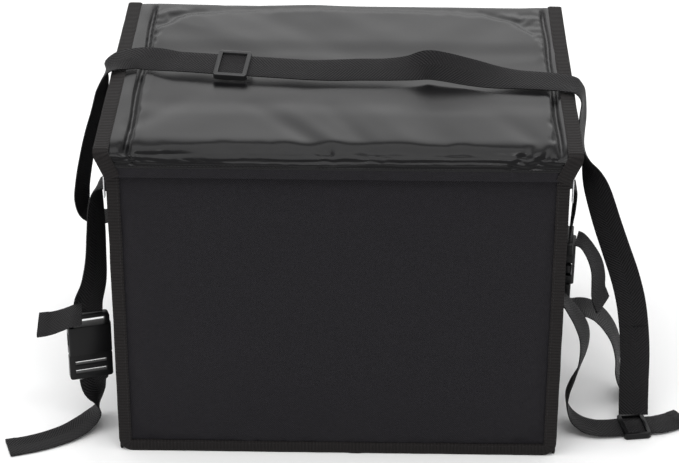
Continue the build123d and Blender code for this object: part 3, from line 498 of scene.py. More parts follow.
def follow(route: Sequence[Sequence[float]], spacing: float) -> tuple:
    """Draw a smooth line through a route's stations.

    Args:
        route: Stations: a point and the direction across, six numbers each.
        spacing: Wanted distance between the points of the line.

    Returns:
        Points, directions across, and the index of each station in them.
    """
    table = np.array(route, float)
    padded = np.vstack([2 * table[0] - table[1], table, 2 * table[-1] - table[-2]])
    rows, marks = [], [0]
    for k in range(1, len(padded) - 2):
        p0, p1, p2, p3 = padded[k - 1:k + 3]
        pairs = ((p0, p1), (p1, p2), (p2, p3))
        d01, d12, d23 = (max(np.linalg.norm((b - a)[:3]), 1e-6) ** 0.5 for a, b in pairs)
        m1 = d12 * ((p1 - p0) / d01 - (p2 - p0) / (d01 + d12) + (p2 - p1) / d12)
        m2 = d12 * ((p2 - p1) / d12 - (p3 - p1) / (d12 + d23) + (p3 - p2) / d23)
        count = max(2, round(d12 ** 2 / spacing))
        for t in np.arange(count) / count:
            h = (2 * t ** 3 - 3 * t ** 2 + 1, t ** 3 - 2 * t ** 2 + t,
                 -2 * t ** 3 + 3 * t ** 2, t ** 3 - t ** 2)
            rows.append(h[0] * p1 + h[1] * m1 + h[2] * p2 + h[3] * m2)
        marks.append(len(rows))
    rows.append(padded[-2])
    line = np.array(rows)
    return line[:, :3], line[:, 3:], marks


def directions(points: np.ndarray, across: np.ndarray) -> tuple:
    """Unit directions along, across and up from a line.

    Args:
        points: The line's points.
        across: Rough directions across it.

    Returns:
        Directions along, across and up.
    """
    along = np.gradient(points, axis=0)
    along /= np.linalg.norm(along, axis=1)[:, None]
    side = across - along * np.sum(across * along, axis=1)[:, None]
    side /= np.linalg.norm(side, axis=1)[:, None]
    return along, side, np.cross(along, side)


@dataclass(frozen=True)
class Tape:
    """A length of webbing or binding tape.

    Attributes:
        width: Its width.
        thickness: Its thickness in the middle.
        edge: Thickness at its edges, as a share of the middle's.
        cup: How far its edges curl up from its middle.
        hem: How much of each end is folded over, in metres.
    """

    width: float = 0.030
    thickness: float = 0.0018
    edge: float = 0.55
    cup: float = 0.0
    hem: tuple = (0.0, 0.0)
    columns: int = 10

    def build(self, name: str, points: np.ndarray, across: np.ndarray, frames: Optional[tuple] = None,
              start: float = 0.0, closed: bool = False) -> bpy.types.Object:
        """Sweep the tape along a line.

        Args:
            name: The new object's name.
            points: The line's points.
            across: Directions across the tape at those points.
            frames: Directions along, across and up, if they are already known.
            start: How far along the weave starts.
            closed: Whether the tape's ends meet.

        Returns:
            The tape, with a UV map in metres: along it, and across it.
        """
        _, side, up = frames or directions(points, across)
        lengths = np.concatenate([[0], np.cumsum(np.linalg.norm(np.diff(points, axis=0), axis=1))])
        total = lengths[-1]
        u = np.linspace(-1, 1, self.columns)
        half = np.where(np.abs(u) > 0.99, self.edge, 1.0) * self.thickness / 2
        half = np.where((np.abs(u) > 0.7) & (np.abs(u) < 0.99), half * 0.97, half)
        rings, values = [], []
        for k, point in enumerate(points):
            fat = 1.0
            if self.hem[0] and lengths[k] < self.hem[0]:
                fat = 1.9
            if self.hem[1] and total - lengths[k] < self.hem[1]:
                fat = 1.9
            lift = self.cup * (u ** 2)
            top = [point + side[k] * (x * self.width / 2) + up[k] * (h * fat + c)
                   for x, h, c in zip(u, half, lift)]
            low = [point + side[k] * (x * self.width / 2) - up[k] * (h * fat - c)
                   for x, h, c in zip(u, half, lift)]
            rings.append(top + low[::-1])
            values.append([(start + lengths[k], x * self.width / 2) for x in list(u) + list(u)[::-1]])
        if closed:
            rings.append(rings[0])
            values.append([(start + total + 0.002, v) for _, v in values[0]])
        obj = loft(name, np.array(rings), not closed, not closed)
        flat = np.array(values).reshape(-1, 2)
        layer = obj.data.uv_layers.new(name="weave")
        corner = np.empty(len(obj.data.loops), int)
        obj.data.loops.foreach_get("vertex_index", corner)
        layer.data.foreach_set("uv", flat[corner].reshape(-1))
        if closed:
            outward(obj)
        else:
            only(obj)
            bpy.ops.object.mode_set(mode="EDIT")
            bpy.ops.mesh.select_all(action="SELECT")
            bpy.ops.mesh.normals_make_consistent(inside=False)
            leave_edit()
        smooth(obj, 50)
        return obj


# ---------------------------------------------------------------- finishes

class Pattern(Enum):
    """What a finish's surface is made of."""

    WEAVE = "weave"
    RIBS = "ribs"
    GRAIN = "grain"
    CRINKLE = "crinkle"
    CELLS = "cells"


class Wiring:
    """Adds and joins shader nodes in one tree."""

    def __init__(self, tree: bpy.types.NodeTree) -> None:
        """Start wiring in a tree.

        Args:
            tree: The node tree to work in.
        """
        self.tree = tree

    def node(self, kind: str, **settings: object) -> bpy.types.Node:
        """Add a node and set its own properties."""
        made = self.tree.nodes.new(kind)
        for key, value in settings.items():
            setattr(made, key, value)
        made.location = (220 * (len(self.tree.nodes) % 9), -180 * (len(self.tree.nodes) // 9))
        return made

    def feed(self, socket: bpy.types.NodeSocket, value: object) -> None:
        """Join a socket to another one, or set its value."""
        if isinstance(value, bpy.types.NodeSocket):
            self.tree.links.new(value, socket)
        else:
            socket.default_value = value

    def math(self, operation: str, *values: object) -> bpy.types.NodeSocket:
        """Work out one number from others.

        Args:
            operation: The Math node's operation.
            values: Numbers or sockets.

        Returns:
            The result's socket.
        """
        made = self.node("ShaderNodeMath", operation=operation)
        for socket, value in zip(made.inputs, values):
            self.feed(socket, value)
        return made.outputs[0]

    def wave(self, value: bpy.types.NodeSocket, pitch: object) -> bpy.types.NodeSocket:
        """A sine wave along one coordinate, once in each pitch."""
        return self.math("SINE", self.math("MULTIPLY", self.math("DIVIDE", value, pitch), math.tau))

    def noise(self, vector: bpy.types.NodeSocket, scale: object, detail: float = 3.0,
              roughness: float = 0.5) -> bpy.types.NodeSocket:
        """Smooth noise between 0 and 1."""
        made = self.node("ShaderNodeTexNoise")
        self.feed(made.inputs["Vector"], vector)
        self.feed(made.inputs["Scale"], scale)
        made.inputs["Detail"].default_value = detail
        made.inputs["Roughness"].default_value = roughness
        return made.outputs["Fac"]

    def object_place(self) -> bpy.types.NodeSocket:
        """The place on the piece."""
        return self.node("ShaderNodeTexCoord").outputs["Object"]

    def split(self, vector: bpy.types.NodeSocket) -> list:
        """A vector's three numbers."""
        made = self.node("ShaderNodeSeparateXYZ")
        self.feed(made.inputs[0], vector)
        return list(made.outputs)


class Effects:
    """Shader effects that several finishes share."""

    def __init__(self) -> None:
        """Build every effect once."""
        self.weave = self._group("woven_cloth", {"Pitch": 0.0014}, self._weave)
        self.ribs = self._group("ribbed_tape", {"Pitch": 0.0022, "Slant": 0.0012}, self._ribs)
        self.grain = self._group("moulded_grain", {"Scale": 900.0, "Streak": 0.0}, self._grain)
        self.crinkle = self._group("crinkled_foil", {"Scale": 60.0}, self._crinkle)
        self.cells = self._group("foam_cells", {"Scale": 900.0}, self._cells)
        self.wear = self._group("dust_and_wear", {"Amount": 0.3}, self._wear)

    def _group(self, name: str, inputs: dict, fill: Callable) -> bpy.types.NodeTree:
        """Make one node group with number inputs, and Height and Mask outputs."""
        tree = bpy.data.node_groups.new(name, "ShaderNodeTree")
        for key, value in inputs.items():
            socket = tree.interface.new_socket(key, in_out="INPUT", socket_type="NodeSocketFloat")
            socket.default_value = value
        for key in ("Height", "Mask"):
            tree.interface.new_socket(key, in_out="OUTPUT", socket_type="NodeSocketFloat")
        wiring = Wiring(tree)
        start = wiring.node("NodeGroupInput")
        end = wiring.node("NodeGroupOutput")
        height, mask = fill(wiring, start.outputs)
        wiring.feed(end.inputs["Height"], height)
        wiring.feed(end.inputs["Mask"], mask)
        return tree

    @staticmethod
    def _weave(wiring: Wiring, inputs: Sequence) -> tuple:
        """Basket weave that follows the flat faces of a panel."""
        pitch = inputs["Pitch"]
        place = wiring.object_place()
        x, y, z = (wiring.wave(c, pitch) for c in wiring.split(place))
        normal = wiring.node("ShaderNodeNewGeometry").outputs["Normal"]
        nx, ny, nz = (wiring.math("POWER", wiring.math("ABSOLUTE", c), 3.0) for c in wiring.split(normal))
        faces = [wiring.math("MULTIPLY", wiring.math("MULTIPLY", a, b), n)
                 for a, b, n in ((x, z, ny), (y, z, nx), (x, y, nz))]
        total = wiring.math("ADD", wiring.math("ADD", faces[0], faces[1]), faces[2])
        height = wiring.math("MULTIPLY_ADD", total, 0.5, 0.5)
        slub = wiring.noise(place, 240.0, 4.0, 0.6)
        # Mask: random slub tone, plus the weave's height, which paints shade into its hollows and a highlight
        # onto its crests.
        return height, wiring.math("MULTIPLY_ADD", slub, 0.55, wiring.math("MULTIPLY", height, 0.45))

    @staticmethod
    def _ribs(wiring: Wiring, inputs: Sequence) -> tuple:
        """Ribs across a tape, slanted both ways from its middle like a herringbone."""
        place = wiring.node("ShaderNodeUVMap", uv_map="weave").outputs["UV"]
        along, across, _ = wiring.split(place)
        slant = wiring.math("MULTIPLY", wiring.math("ABSOLUTE", across), inputs["Slant"])
        rib = wiring.wave(wiring.math("ADD", along, slant), inputs["Pitch"])
        thread = wiring.wave(across, wiring.math("MULTIPLY", inputs["Pitch"], 0.62))
        both = wiring.math("MULTIPLY_ADD", wiring.math("MULTIPLY", rib, thread), 0.35, rib)
        height = wiring.math("MULTIPLY_ADD", both, 0.36, 0.5)
        fuzz = wiring.noise(wiring.object_place(), 700.0, 3.0, 0.6)
        # Mask: random fuzz tone, plus the ribs' height, which paints shade between the ribs and a highlight
        # on their crests.
        return height, wiring.math("MULTIPLY_ADD", fuzz, 0.5, wiring.math("MULTIPLY", height, 0.5))

    @staticmethod
    def _grain(wiring: Wiring, inputs: Sequence) -> tuple:
        """Fine moulded grain, with faint long streaks."""
        place = wiring.object_place()
        fine = wiring.noise(place, inputs["Scale"], 2.0, 0.5)
        x, y, z = wiring.split(place)
        stretched = wiring.node("ShaderNodeCombineXYZ")
        for socket, value, scale in zip(stretched.inputs, (x, y, z), (5.0, 60.0, 230.0)):
            wiring.feed(socket, wiring.math("MULTIPLY", value, scale))
        streak = wiring.noise(stretched.outputs[0], 1.0, 4.0, 0.65)
        height = wiring.math("MULTIPLY_ADD", streak, inputs["Streak"], fine)
        return height, wiring.noise(place, 22.0, 3.0, 0.55)

    @staticmethod
    def _crinkle(wiring: Wiring, inputs: Sequence) -> tuple:
        """Sharp-edged creases of thin foil."""
        place = wiring.object_place()
        cells = wiring.node("ShaderNodeTexVoronoi", feature="F2")
        wiring.feed(cells.inputs["Vector"], place)
        wiring.feed(cells.inputs["Scale"], inputs["Scale"])
        fine = wiring.noise(place, wiring.math("MULTIPLY", inputs["Scale"], 3.0), 4.0, 0.6)
        height = wiring.math("MULTIPLY_ADD", fine, 0.35, cells.outputs["Distance"])
        return height, fine

    @staticmethod
    def _cells(wiring: Wiring, inputs: Sequence) -> tuple:
        """Tiny bubbles of closed-cell foam."""
        cells = wiring.node("ShaderNodeTexVoronoi", feature="F1")
        wiring.feed(cells.inputs["Vector"], wiring.object_place())
        wiring.feed(cells.inputs["Scale"], inputs["Scale"])
        # The mask is the same distance as the height, so the colour paints shade into each bubble's hollow.
        return cells.outputs["Distance"], cells.outputs["Distance"]

    @staticmethod
    def _wear(wiring: Wiring, inputs: Sequence) -> tuple:
        """Lint and rubbed patches: specks in Height, soft patches in Mask."""
        place = wiring.object_place()
        specks = wiring.math("GREATER_THAN", wiring.noise(place, 420.0, 2.0, 0.7), 0.735)
        patches = wiring.noise(place, 9.0, 5.0, 0.65)
        lint = wiring.math("MULTIPLY", specks, inputs["Amount"])
        rubbed = wiring.math("MULTIPLY", wiring.math("SUBTRACT", patches, 0.35), inputs["Amount"])
        return lint, wiring.math("MAXIMUM", rubbed, 0.0)


@dataclass(frozen=True)
class Finish:
    """One material of the bag.

    Attributes:
        name: The material's name.
        colour: Its colour where the pattern's mask is low: painted shade in the hollows of a weave, ribs or
            cells, and the darker side of random tone.
        light: Its colour where the mask is high: a painted highlight on the crests of a weave, ribs or cells,
            and the lighter side of random tone.
        pattern: What its surface is made of.
        size: The pattern's pitch or scale.
        extra: The pattern's second value.
        rough: Roughness in the hollows and on the crests.
        bump: Height of the pattern, in metres.
        specular: Strength of its highlights.
        metal: How metallic it is.
        sheen: Strength of its soft fibre sheen.
        coat: Strength of a clear glossy layer.
        dust: Amount of lint and rubbing.
    """

    name: str
    colour: tuple
    light: tuple
    pattern: Pattern
    size: float
    extra: float = 0.0
    rough: tuple = (0.6, 0.8)
    bump: float = 0.0002
    specular: float = 0.3
    metal: float = 0.0
    sheen: float = 0.0
    coat: float = 0.0
    dust: float = 0.15

    def make(self, effects: Effects) -> bpy.types.Material:
        """Build the material.

        Args:
            effects: The shared shader effects.

        Returns:
            The finished material.
        """
        material = bpy.data.materials.new(self.name)
        material.use_nodes = True
        wiring = Wiring(material.node_tree)
        shader = material.node_tree.nodes["Principled BSDF"]
        surface = wiring.node("ShaderNodeGroup", node_tree=getattr(effects, self.pattern.value))
        surface.inputs[0].default_value = self.size
        if len(surface.inputs) > 1:
            surface.inputs[1].default_value = self.extra
        wear = wiring.node("ShaderNodeGroup", node_tree=effects.wear)
        wear.inputs["Amount"].default_value = self.dust
        # The pattern's mask mixes the two colours; where it follows the height of a weave, ribs or cells,
        # this paints shade into the hollows and a highlight onto the crests.
        blend = self._mix(wiring, surface.outputs["Mask"], self.colour, self.light)
        lint = wiring.math("ADD", wiring.math("MULTIPLY", wear.outputs["Height"], 0.10),
                           wiring.math("MULTIPLY", wear.outputs["Mask"], 0.06))
        dusty = self._mix(wiring, lint, blend, (0.32, 0.31, 0.30))
        wiring.feed(shader.inputs["Base Color"], dusty)
        spread = wiring.node("ShaderNodeMapRange")
        wiring.feed(spread.inputs["Value"], surface.outputs["Mask"])
        wiring.feed(spread.inputs["To Min"], self.rough[0])
        wiring.feed(spread.inputs["To Max"], self.rough[1])
        rubbed = wiring.math("MULTIPLY_ADD", wear.outputs["Mask"], 0.2, spread.outputs["Result"])
        wiring.feed(shader.inputs["Roughness"], rubbed)
        bump = wiring.node("ShaderNodeBump")
        bump.inputs["Strength"].default_value = 1.0
        bump.inputs["Distance"].default_value = self.bump
        wiring.feed(bump.inputs["Height"], surface.outputs["Height"])
        wiring.feed(shader.inputs["Normal"], bump.outputs["Normal"])
        shader.inputs["Metallic"].default_value = self.metal
        shader.inputs["Specular IOR Level"].default_value = self.specular
        shader.inputs["Sheen Weight"].default_value = self.sheen
        shader.inputs["Sheen Roughness"].default_value = 0.5
        shader.inputs["Coat Weight"].default_value = self.coat
        shader.inputs["Coat Roughness"].default_value = 0.12
        return material

    @staticmethod
    def _mix(wiring: Wiring, share: object, first: object, second: object) -> bpy.types.NodeSocket:
        """Mix two colours."""
        made = wiring.node("ShaderNodeMix", data_type="RGBA")
        wiring.feed(made.inputs[0], share)
        for socket, value in ((made.inputs[6], first), (made.inputs[7], second)):
            wiring.feed(socket, (*value, 1.0) if isinstance(value, tuple) else value)
        return made.outputs[2]


FINISHES = (
    Finish("coated_lid", (0.0020, 0.0019, 0.0023), (0.0042, 0.0040, 0.0046), Pattern.GRAIN, 700.0, 0.25,
           rough=(0.19, 0.29), bump=0.00003, specular=0.20, coat=0.0, dust=0.02),
    Finish("oxford_cloth", (0.0020, 0.0018, 0.0026), (0.0170, 0.0155, 0.0195), Pattern.WEAVE, 0.0023,
           rough=(0.56, 0.76), bump=0.00045, specular=0.15, sheen=0.02, dust=0.12),
    Finish("seam_binding", (0.0022, 0.0018, 0.0018), (0.0190, 0.0165, 0.0165), Pattern.RIBS, 0.0034, 0.0,
           rough=(0.60, 0.82), bump=0.00070, specular=0.14, sheen=0.03, dust=0.14),
    Finish("strap_webbing", (0.0020, 0.0019, 0.0022), (0.0210, 0.0200, 0.0215), Pattern.RIBS, 0.0032, 0.9,
           rough=(0.48, 0.64), bump=0.00090, specular=0.15, sheen=0.02, dust=0.08),
    Finish("foam_sheet", (0.55, 0.55, 0.53), (0.75, 0.75, 0.73), Pattern.CELLS, 800.0,
           rough=(0.8, 0.95), bump=0.0001),
    Finish("foil_lining", (0.62, 0.63, 0.65), (0.82, 0.83, 0.85), Pattern.CRINKLE, 55.0, rough=(0.18, 0.36),
           bump=0.0012, metal=1.0, dust=0.1),
    Finish("stiff_board", (0.10, 0.085, 0.07), (0.16, 0.14, 0.12), Pattern.GRAIN, 300.0, rough=(0.7, 0.85)),
    Finish("hook_and_loop", (0.006, 0.006, 0.007), (0.026, 0.025, 0.028), Pattern.CELLS, 1100.0,
           rough=(0.8, 0.95), bump=0.0006, sheen=0.1),
    Finish("zip_cloth", (0.006, 0.006, 0.0065), (0.018, 0.018, 0.019), Pattern.WEAVE, 0.0011,
           rough=(0.6, 0.8), bump=0.00015),
    Finish("zip_coil", (0.008, 0.008, 0.009), (0.014, 0.014, 0.015), Pattern.GRAIN, 1500.0, rough=(0.3, 0.42),
           bump=0.00002, specular=0.5),
    Finish("plated_metal", (0.45, 0.45, 0.46), (0.66, 0.66, 0.67), Pattern.GRAIN, 1200.0, 0.2,
           rough=(0.18, 0.34), bump=0.00002, metal=1.0, specular=0.5, dust=0.1),
    Finish("buckle_plastic", (0.0030, 0.0030, 0.0033), (0.0060, 0.0060, 0.0065), Pattern.GRAIN, 1600.0, 0.0,
           rough=(0.28, 0.40), bump=0.00005, specular=0.20, dust=0.05),
    Finish("glide_plastic", (0.0160, 0.0160, 0.0170), (0.0280, 0.0280, 0.0290), Pattern.GRAIN, 1600.0, 0.0,
           rough=(0.28, 0.40), bump=0.00005, specular=0.45, dust=0.1),
    Finish("seam_thread", (0.012, 0.011, 0.012), (0.030, 0.028, 0.030), Pattern.GRAIN, 2500.0,
           rough=(0.5, 0.7), bump=0.00003),
)


class Wardrobe:
    """Every finish, made once, and how a piece is dressed in it."""

    def __init__(self) -> None:
        """Make every material."""
        effects = Effects()
        self.materials = {finish.name: finish.make(effects) for finish in FINISHES}

    def dress(self, obj: bpy.types.Object, finish: str, body: Optional[str] = None,
              instead_of: Sequence[str] = ()) -> bpy.types.Object:
        """Give a piece its finish, its body and the nodes that it stands for.

        Args:
            obj: The piece.
            finish: The finish's name.
            body: The body that it rides on, or nothing to leave it unattached.
            instead_of: Names of the nodes that it replaces.

        Returns:
            The piece.
        """
        obj.data.materials.clear()
        obj.data.materials.append(self.materials[finish])
        if instead_of:
            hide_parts(*instead_of)
        if body:
            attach(obj, body)
        LOG.info("%s: %d faces, %s", obj.name, len(obj.data.polygons), finish)
        return obj

    def dress_node(self, node: str, finish: str) -> None:
        """Give a carried-over node a better material."""
        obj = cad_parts[node]
        for slot in obj.material_slots:
            slot.material = self.materials[finish]
        if not obj.material_slots:
            obj.data.materials.append(self.materials[finish])


# ---------------------------------------------------------------- cloth

def inflate(obj: bpy.types.Object, pins: np.ndarray, limits: Callable[[np.ndarray, np.ndarray], tuple],
            pressure: float = 4.0, slack: float = 0.012) -> None:
    """Puff a padded piece up as cloth, holding its seams and limiting how far it moves.

    Args:
        obj: The closed mesh.
        pins: How firmly each point is held, 0 to 1.
        limits: Gives the lowest and highest movement along the normal, from places and normals.
        pressure: Air pressure inside.
        slack: How much larger the cloth is than the shape that it covers.
    """
    before = coordinates(obj)
    normals = point_normals(obj)
    group = obj.vertex_groups.new(name="seams")
    for index, weight in enumerate(pins):
        group.add([index], float(weight), "REPLACE")
    modifier = obj.modifiers.new("Cloth", "CLOTH")
    cloth = modifier.settings
    cloth.quality = 4
    cloth.mass = 0.25
    cloth.tension_stiffness = 25
    cloth.compression_stiffness = 12
    cloth.shear_stiffness = 8
    cloth.bending_stiffness = 1.2
    cloth.use_pressure = True
    cloth.uniform_pressure_force = pressure
    cloth.vertex_group_mass = group.name
    cloth.shrink_min = -slack
    cloth.effector_weights.gravity = 0
    modifier.collision_settings.use_collision = False
    scene = bpy.context.scene
    for number in range(1, 21):
        scene.frame_set(number)
    puffed = obj.evaluated_get(bpy.context.evaluated_depsgraph_get())
    after = np.empty(len(before) * 3)
    puffed.data.vertices.foreach_get("co", after)
    after = after.reshape(-1, 3)
    obj.modifiers.remove(modifier)
    obj.vertex_groups.remove(group)
    scene.frame_set(1)
    moved = after - before
    height = np.sum(moved * normals, axis=1)
    low, high = limits(before, normals)
    held = np.clip(height, low, high)
    sideways = moved - normals * height[:, None]
    place_points(obj, before + normals * held[:, None] + np.clip(sideways, -0.001, 0.001))
    LOG.info("%s: cloth moved it by up to %.1f mm", obj.name, 1000 * float(np.abs(held).max()))


# ---------------------------------------------------------------- stitches

@dataclass(frozen=True)
class Stitching:
    """A row of stitches.

    Attributes:
        length: Length of one stitch.
        pitch: From one stitch to the next.
        width: Width of the thread.
    """

    length: float = 0.0024
    pitch: float = 0.0034
    width: float = 0.0006

    def model(self) -> bpy.types.Object:
        """One stitch, lying along X."""
        half = (self.length / 2, self.width / 2, self.width * 0.4)
        obj = block("stitch_model", [-h for h in half], half)
        edit_faces(obj, lambda centre, normal: abs(normal.x) > 0.9)
        bpy.ops.transform.resize(value=(1, 0.55, 0.5))
        bpy.ops.mesh.select_all(action="SELECT")
        bpy.ops.mesh.bevel(offset=self.width * 0.2, segments=1)
        leave_edit()
        return obj

    def row(self, line: Sequence[Vector], normal: Vector) -> list:
        """Where the stitches of one row go.

        Args:
            line: The row's corners.
            normal: The direction that the cloth faces.

        Returns:
            A place for each stitch.
        """
        places = []
        for start, end in zip(line, line[1:]):
            run = Vector(end) - Vector(start)
            count = max(1, int(run.length / self.pitch))
            along = run.normalized()
            side = Vector(normal).normalized().cross(along)
            turn = Matrix((along, side, side.cross(along) * -1)).transposed()
            for k in range(count):
                spot = Vector(start) + run * ((k + 0.5) / count)
                places.append(Matrix.Translation(spot) @ turn.to_4x4())
        return places

    def sew(self, name: str, places: Sequence[Matrix]) -> bpy.types.Object:
        """Make all the stitches of a piece."""
        obj = scatter(name, self.model(), places)
        smooth(obj, 60)
        return obj


def box_stitch(x: float, y: float, z: float, half_y: float, half_z: float, side: float) -> list:
    """A stitched box with a cross in it, on a side wall.

    Args:
        x: How far out the thread lies.
        y: The box's middle.
        z: Its middle height.
        half_y: Half of its width.
        half_z: Half of its height.
        side: -1 for the left wall, 1 for the right wall.

    Returns:
        A place for each stitch.
    """
    corners = [Vector((x * side, y + a * half_y, z + b * half_z))
               for a, b in ((-1, -1), (1, -1), (1, 1), (-1, 1))]
    seam = Stitching(length=0.0018, pitch=0.0025, width=0.0005)
    loop = seam.row(corners + corners[:1], Vector((side, 0, 0)))
    cross = seam.row([corners[0], corners[2]], Vector((side, 0, 0)))
    return loop + cross + seam.row([corners[1], corners[3]], Vector((side, 0, 0)))


# ---------------------------------------------------------------- the body

@dataclass(frozen=True)
class Body:
    """Padded walls and base, their bound seams and the foil lining."""

    half_x: float = 0.2160
    half_y: float = 0.1727
    top: float = 0.3218
    wall_top: float = 0.3237
    outer_x: float = 0.2200
    outer_y: float = 0.1750
    seam: float = 0.0125
    inner_x: float = 0.2012
    inner_y: float = 0.1579
    floor: float = 0.0186
    spacing: float = 0.0060

    def build(self, wardrobe: Wardrobe) -> None:
        """Make and dress every piece of the body."""
        self.shell(wardrobe)
        self.lining(wardrobe)
        self.rim(wardrobe)
        self.face_bindings(wardrobe)
        self.base_bindings(wardrobe)
        wardrobe.dress_node("base_board", "stiff_board")

    def shell(self, wardrobe: Wardrobe) -> None:
        """One padded tub: outer cloth, the mouth's edge and the inner side."""
        like = ring_counts(self.half_x, self.half_y, self.spacing)
        levels = [(0.0050, 0.0004), (0.0020, 0.0008), (0.0005, 0.0022)]
        levels += [(0.0, z) for z in np.arange(0.0055, self.top - 0.002, self.spacing)]
        levels += [(0.0, self.top - 0.0004)]
        rings = [rounded_ring(self.half_x - inset, self.half_y - inset, 0.0055, z, self.spacing, like)
                 for inset, z in levels]
        for inset, z in ((0.0010, self.top), (0.0085, self.top)):
            rings.append(rounded_ring(self.half_x - inset, self.half_y - inset, 0.0045, z,
                                      self.spacing, like))
        for z in list(np.linspace(self.top, self.floor, 9)):
            rings.append(rounded_ring(self.inner_x, self.inner_y, 0.0030, z, self.spacing, like))
        obj = loft("padded_body", np.array(rings), True, True, ladder=True)
        outward(obj)
        points = coordinates(obj)
        inflate(obj, self.pins(points), self.limits)
        self.shape_walls(obj)
        apply_modifier(obj, "SUBSURF", levels=1, render_levels=1)
        smooth(obj, 60)
        names = ("front_cover", "back_cover", "left_side_cover", "right_side_cover", "base_cover",
                 "front_foam", "back_foam", "left_foam", "right_foam", "base_foam")
        wardrobe.dress(obj, "oxford_cloth", "body", names)

    def on_wall(self, points: np.ndarray) -> np.ndarray:
        """How far each outer point is from the nearest seam, and 0 off the outer walls."""
        x, y, z = np.abs(points[:, 0]), np.abs(points[:, 1]), points[:, 2]
        front = y > self.half_y - 0.0005
        side = x > self.half_x - 0.0005
        across = np.where(front, self.half_x - x, np.where(side, self.half_y - y, 0))
        return np.maximum(np.minimum(np.minimum(across, z), self.top - z), 0)

    def pins(self, points: np.ndarray) -> np.ndarray:
        """How firmly the seams hold each point."""
        return 1 - step(0.004, 0.020, self.on_wall(points))

    def limits(self, points: np.ndarray, normals: np.ndarray) -> tuple:
        """How far the walls may bulge: more on the front and back, less on the sides, none by the zips."""
        z = points[:, 2]
        faces_front = np.abs(normals[:, 1]) > 0.7
        beside_zip = 1 - step(0.270, 0.292, z)
        high = np.where(faces_front, 0.0030 * (1 - step(0.275, 0.300, z)) + 0.0002, 0.0014 * beside_zip)
        return np.full(len(z), -0.003), high

    def shape_walls(self, obj: bpy.types.Object) -> None:
        """Work in the soft dents, the folds under the lip and the leaning top of the front."""
        points = coordinates(obj)
        x, y, z = points.T
        wall = step(0.002, 0.030, self.on_wall(points))
        front = (y < -self.half_y + 0.006) & (np.abs(x) < self.half_x - 0.004)
        lean = step(0.299, 0.319, z) * np.where(front, 0.0034, 0)
        fold = np.exp(-((z - 0.3005 - 0.0022 * np.sin(x * 21)) / 0.0028) ** 2) * np.where(front, 0.0011, 0)
        fold *= 0.45 + 0.55 * step(-0.12, 0.12, x)
        low_fold = np.exp(-((z - 0.294 - 0.004 * np.sin(x * 14 + 1)) / 0.006) ** 2)
        low_fold *= np.where(front, 0.0007, 0)
        points[:, 1] += (lean + fold * 0.6 - low_fold) * step(0.0, 0.012, self.half_x - 0.004 - np.abs(x))
        normals = point_normals(obj)
        soft = ripple(points * np.array([1, 1, 1.4]), 0.085, 1.0) * 0.0011
        soft += ripple(points, 0.030, 2.0) * 0.00035
        side = np.abs(x) > self.half_x - 0.006
        pull = np.zeros(len(points))
        for sign, spot_y, spot_z in STRAP_ENDS:
            hit = (np.sign(x) == sign) & side
            for dy, dz in ((-0.03, -0.05), (0.035, -0.04), (-0.02, 0.035)):
                line = crease(points, (sign * self.half_x, spot_y, spot_z),
                              (sign * self.half_x, spot_y + dy, spot_z + dz), 0.006)
                pull += np.where(hit, line, 0) * 0.0012
        beside_zip = step(0.270, 0.292, z)
        highest = np.where(side, 0.0006 * (1 - beside_zip) - 0.0002 * beside_zip, 0.0010)
        soft = np.minimum(soft, highest) - pull
        place_points(obj, points + normals * (soft * wall)[:, None])

    def lining(self, wardrobe: Wardrobe) -> None:
        """Foil bag: a thin double skin, creased a little."""
        like = ring_counts(self.inner_x, self.inner_y, 0.010)
        outer = [rounded_ring(0.2008, 0.1575, 0.003, z, 0.010, like) for z in (0.0184, 0.10, 0.20, 0.3216)]
        inner = [rounded_ring(0.2001, 0.1568, 0.004, z, 0.010, like) for z in np.linspace(0.3216, 0.0240, 28)]
        last = [rounded_ring(0.2001 - inset, 0.1568 - inset, 0.004, z, 0.010, like)
                for inset, z in ((0.0008, 0.0210), (0.0030, 0.0192), (0.012, 0.0191))]
        obj = loft("foil_bag", np.array(outer + inner + last), True, True, ladder=True)
        outward(obj)
        points = coordinates(obj)
        inside = (np.abs(points[:, 0]) < 0.20045) & (np.abs(points[:, 1]) < 0.15715) & (points[:, 2] > 0.0185)
        push = np.abs(ripple(points, 0.045, 4.0)) * 0.0022 + np.abs(ripple(points, 0.014, 5.0)) * 0.0009
        push *= np.where(inside, 1, 0) * (1 - step(0.300, 0.318, points[:, 2]))
        place_points(obj, points + point_normals(obj) * push[:, None])
        apply_modifier(obj, "SUBSURF", levels=1, render_levels=1)
        smooth(obj, 40)
        wardrobe.dress(obj, "foil_lining", "body", ("foil_liner",))

    def rim(self, wardrobe: Wardrobe) -> None:
        """Tape round the mouth, over the walls' edges."""
        ring = rounded_ring(0.2078, 0.1646, 0.010, self.top + 0.00085, 0.006)
        out = ring * np.array([1 / 0.2078, 1 / 0.1646, 0])
        out = np.where(np.abs(out) > 0.96, out, 0)
        obj = Tape(0.0160, 0.0021, 0.7, columns=8).build("mouth_tape", ring, out + 1e-6, closed=True)
        wardrobe.dress(obj, "seam_binding", "body", ("rim_binding",))

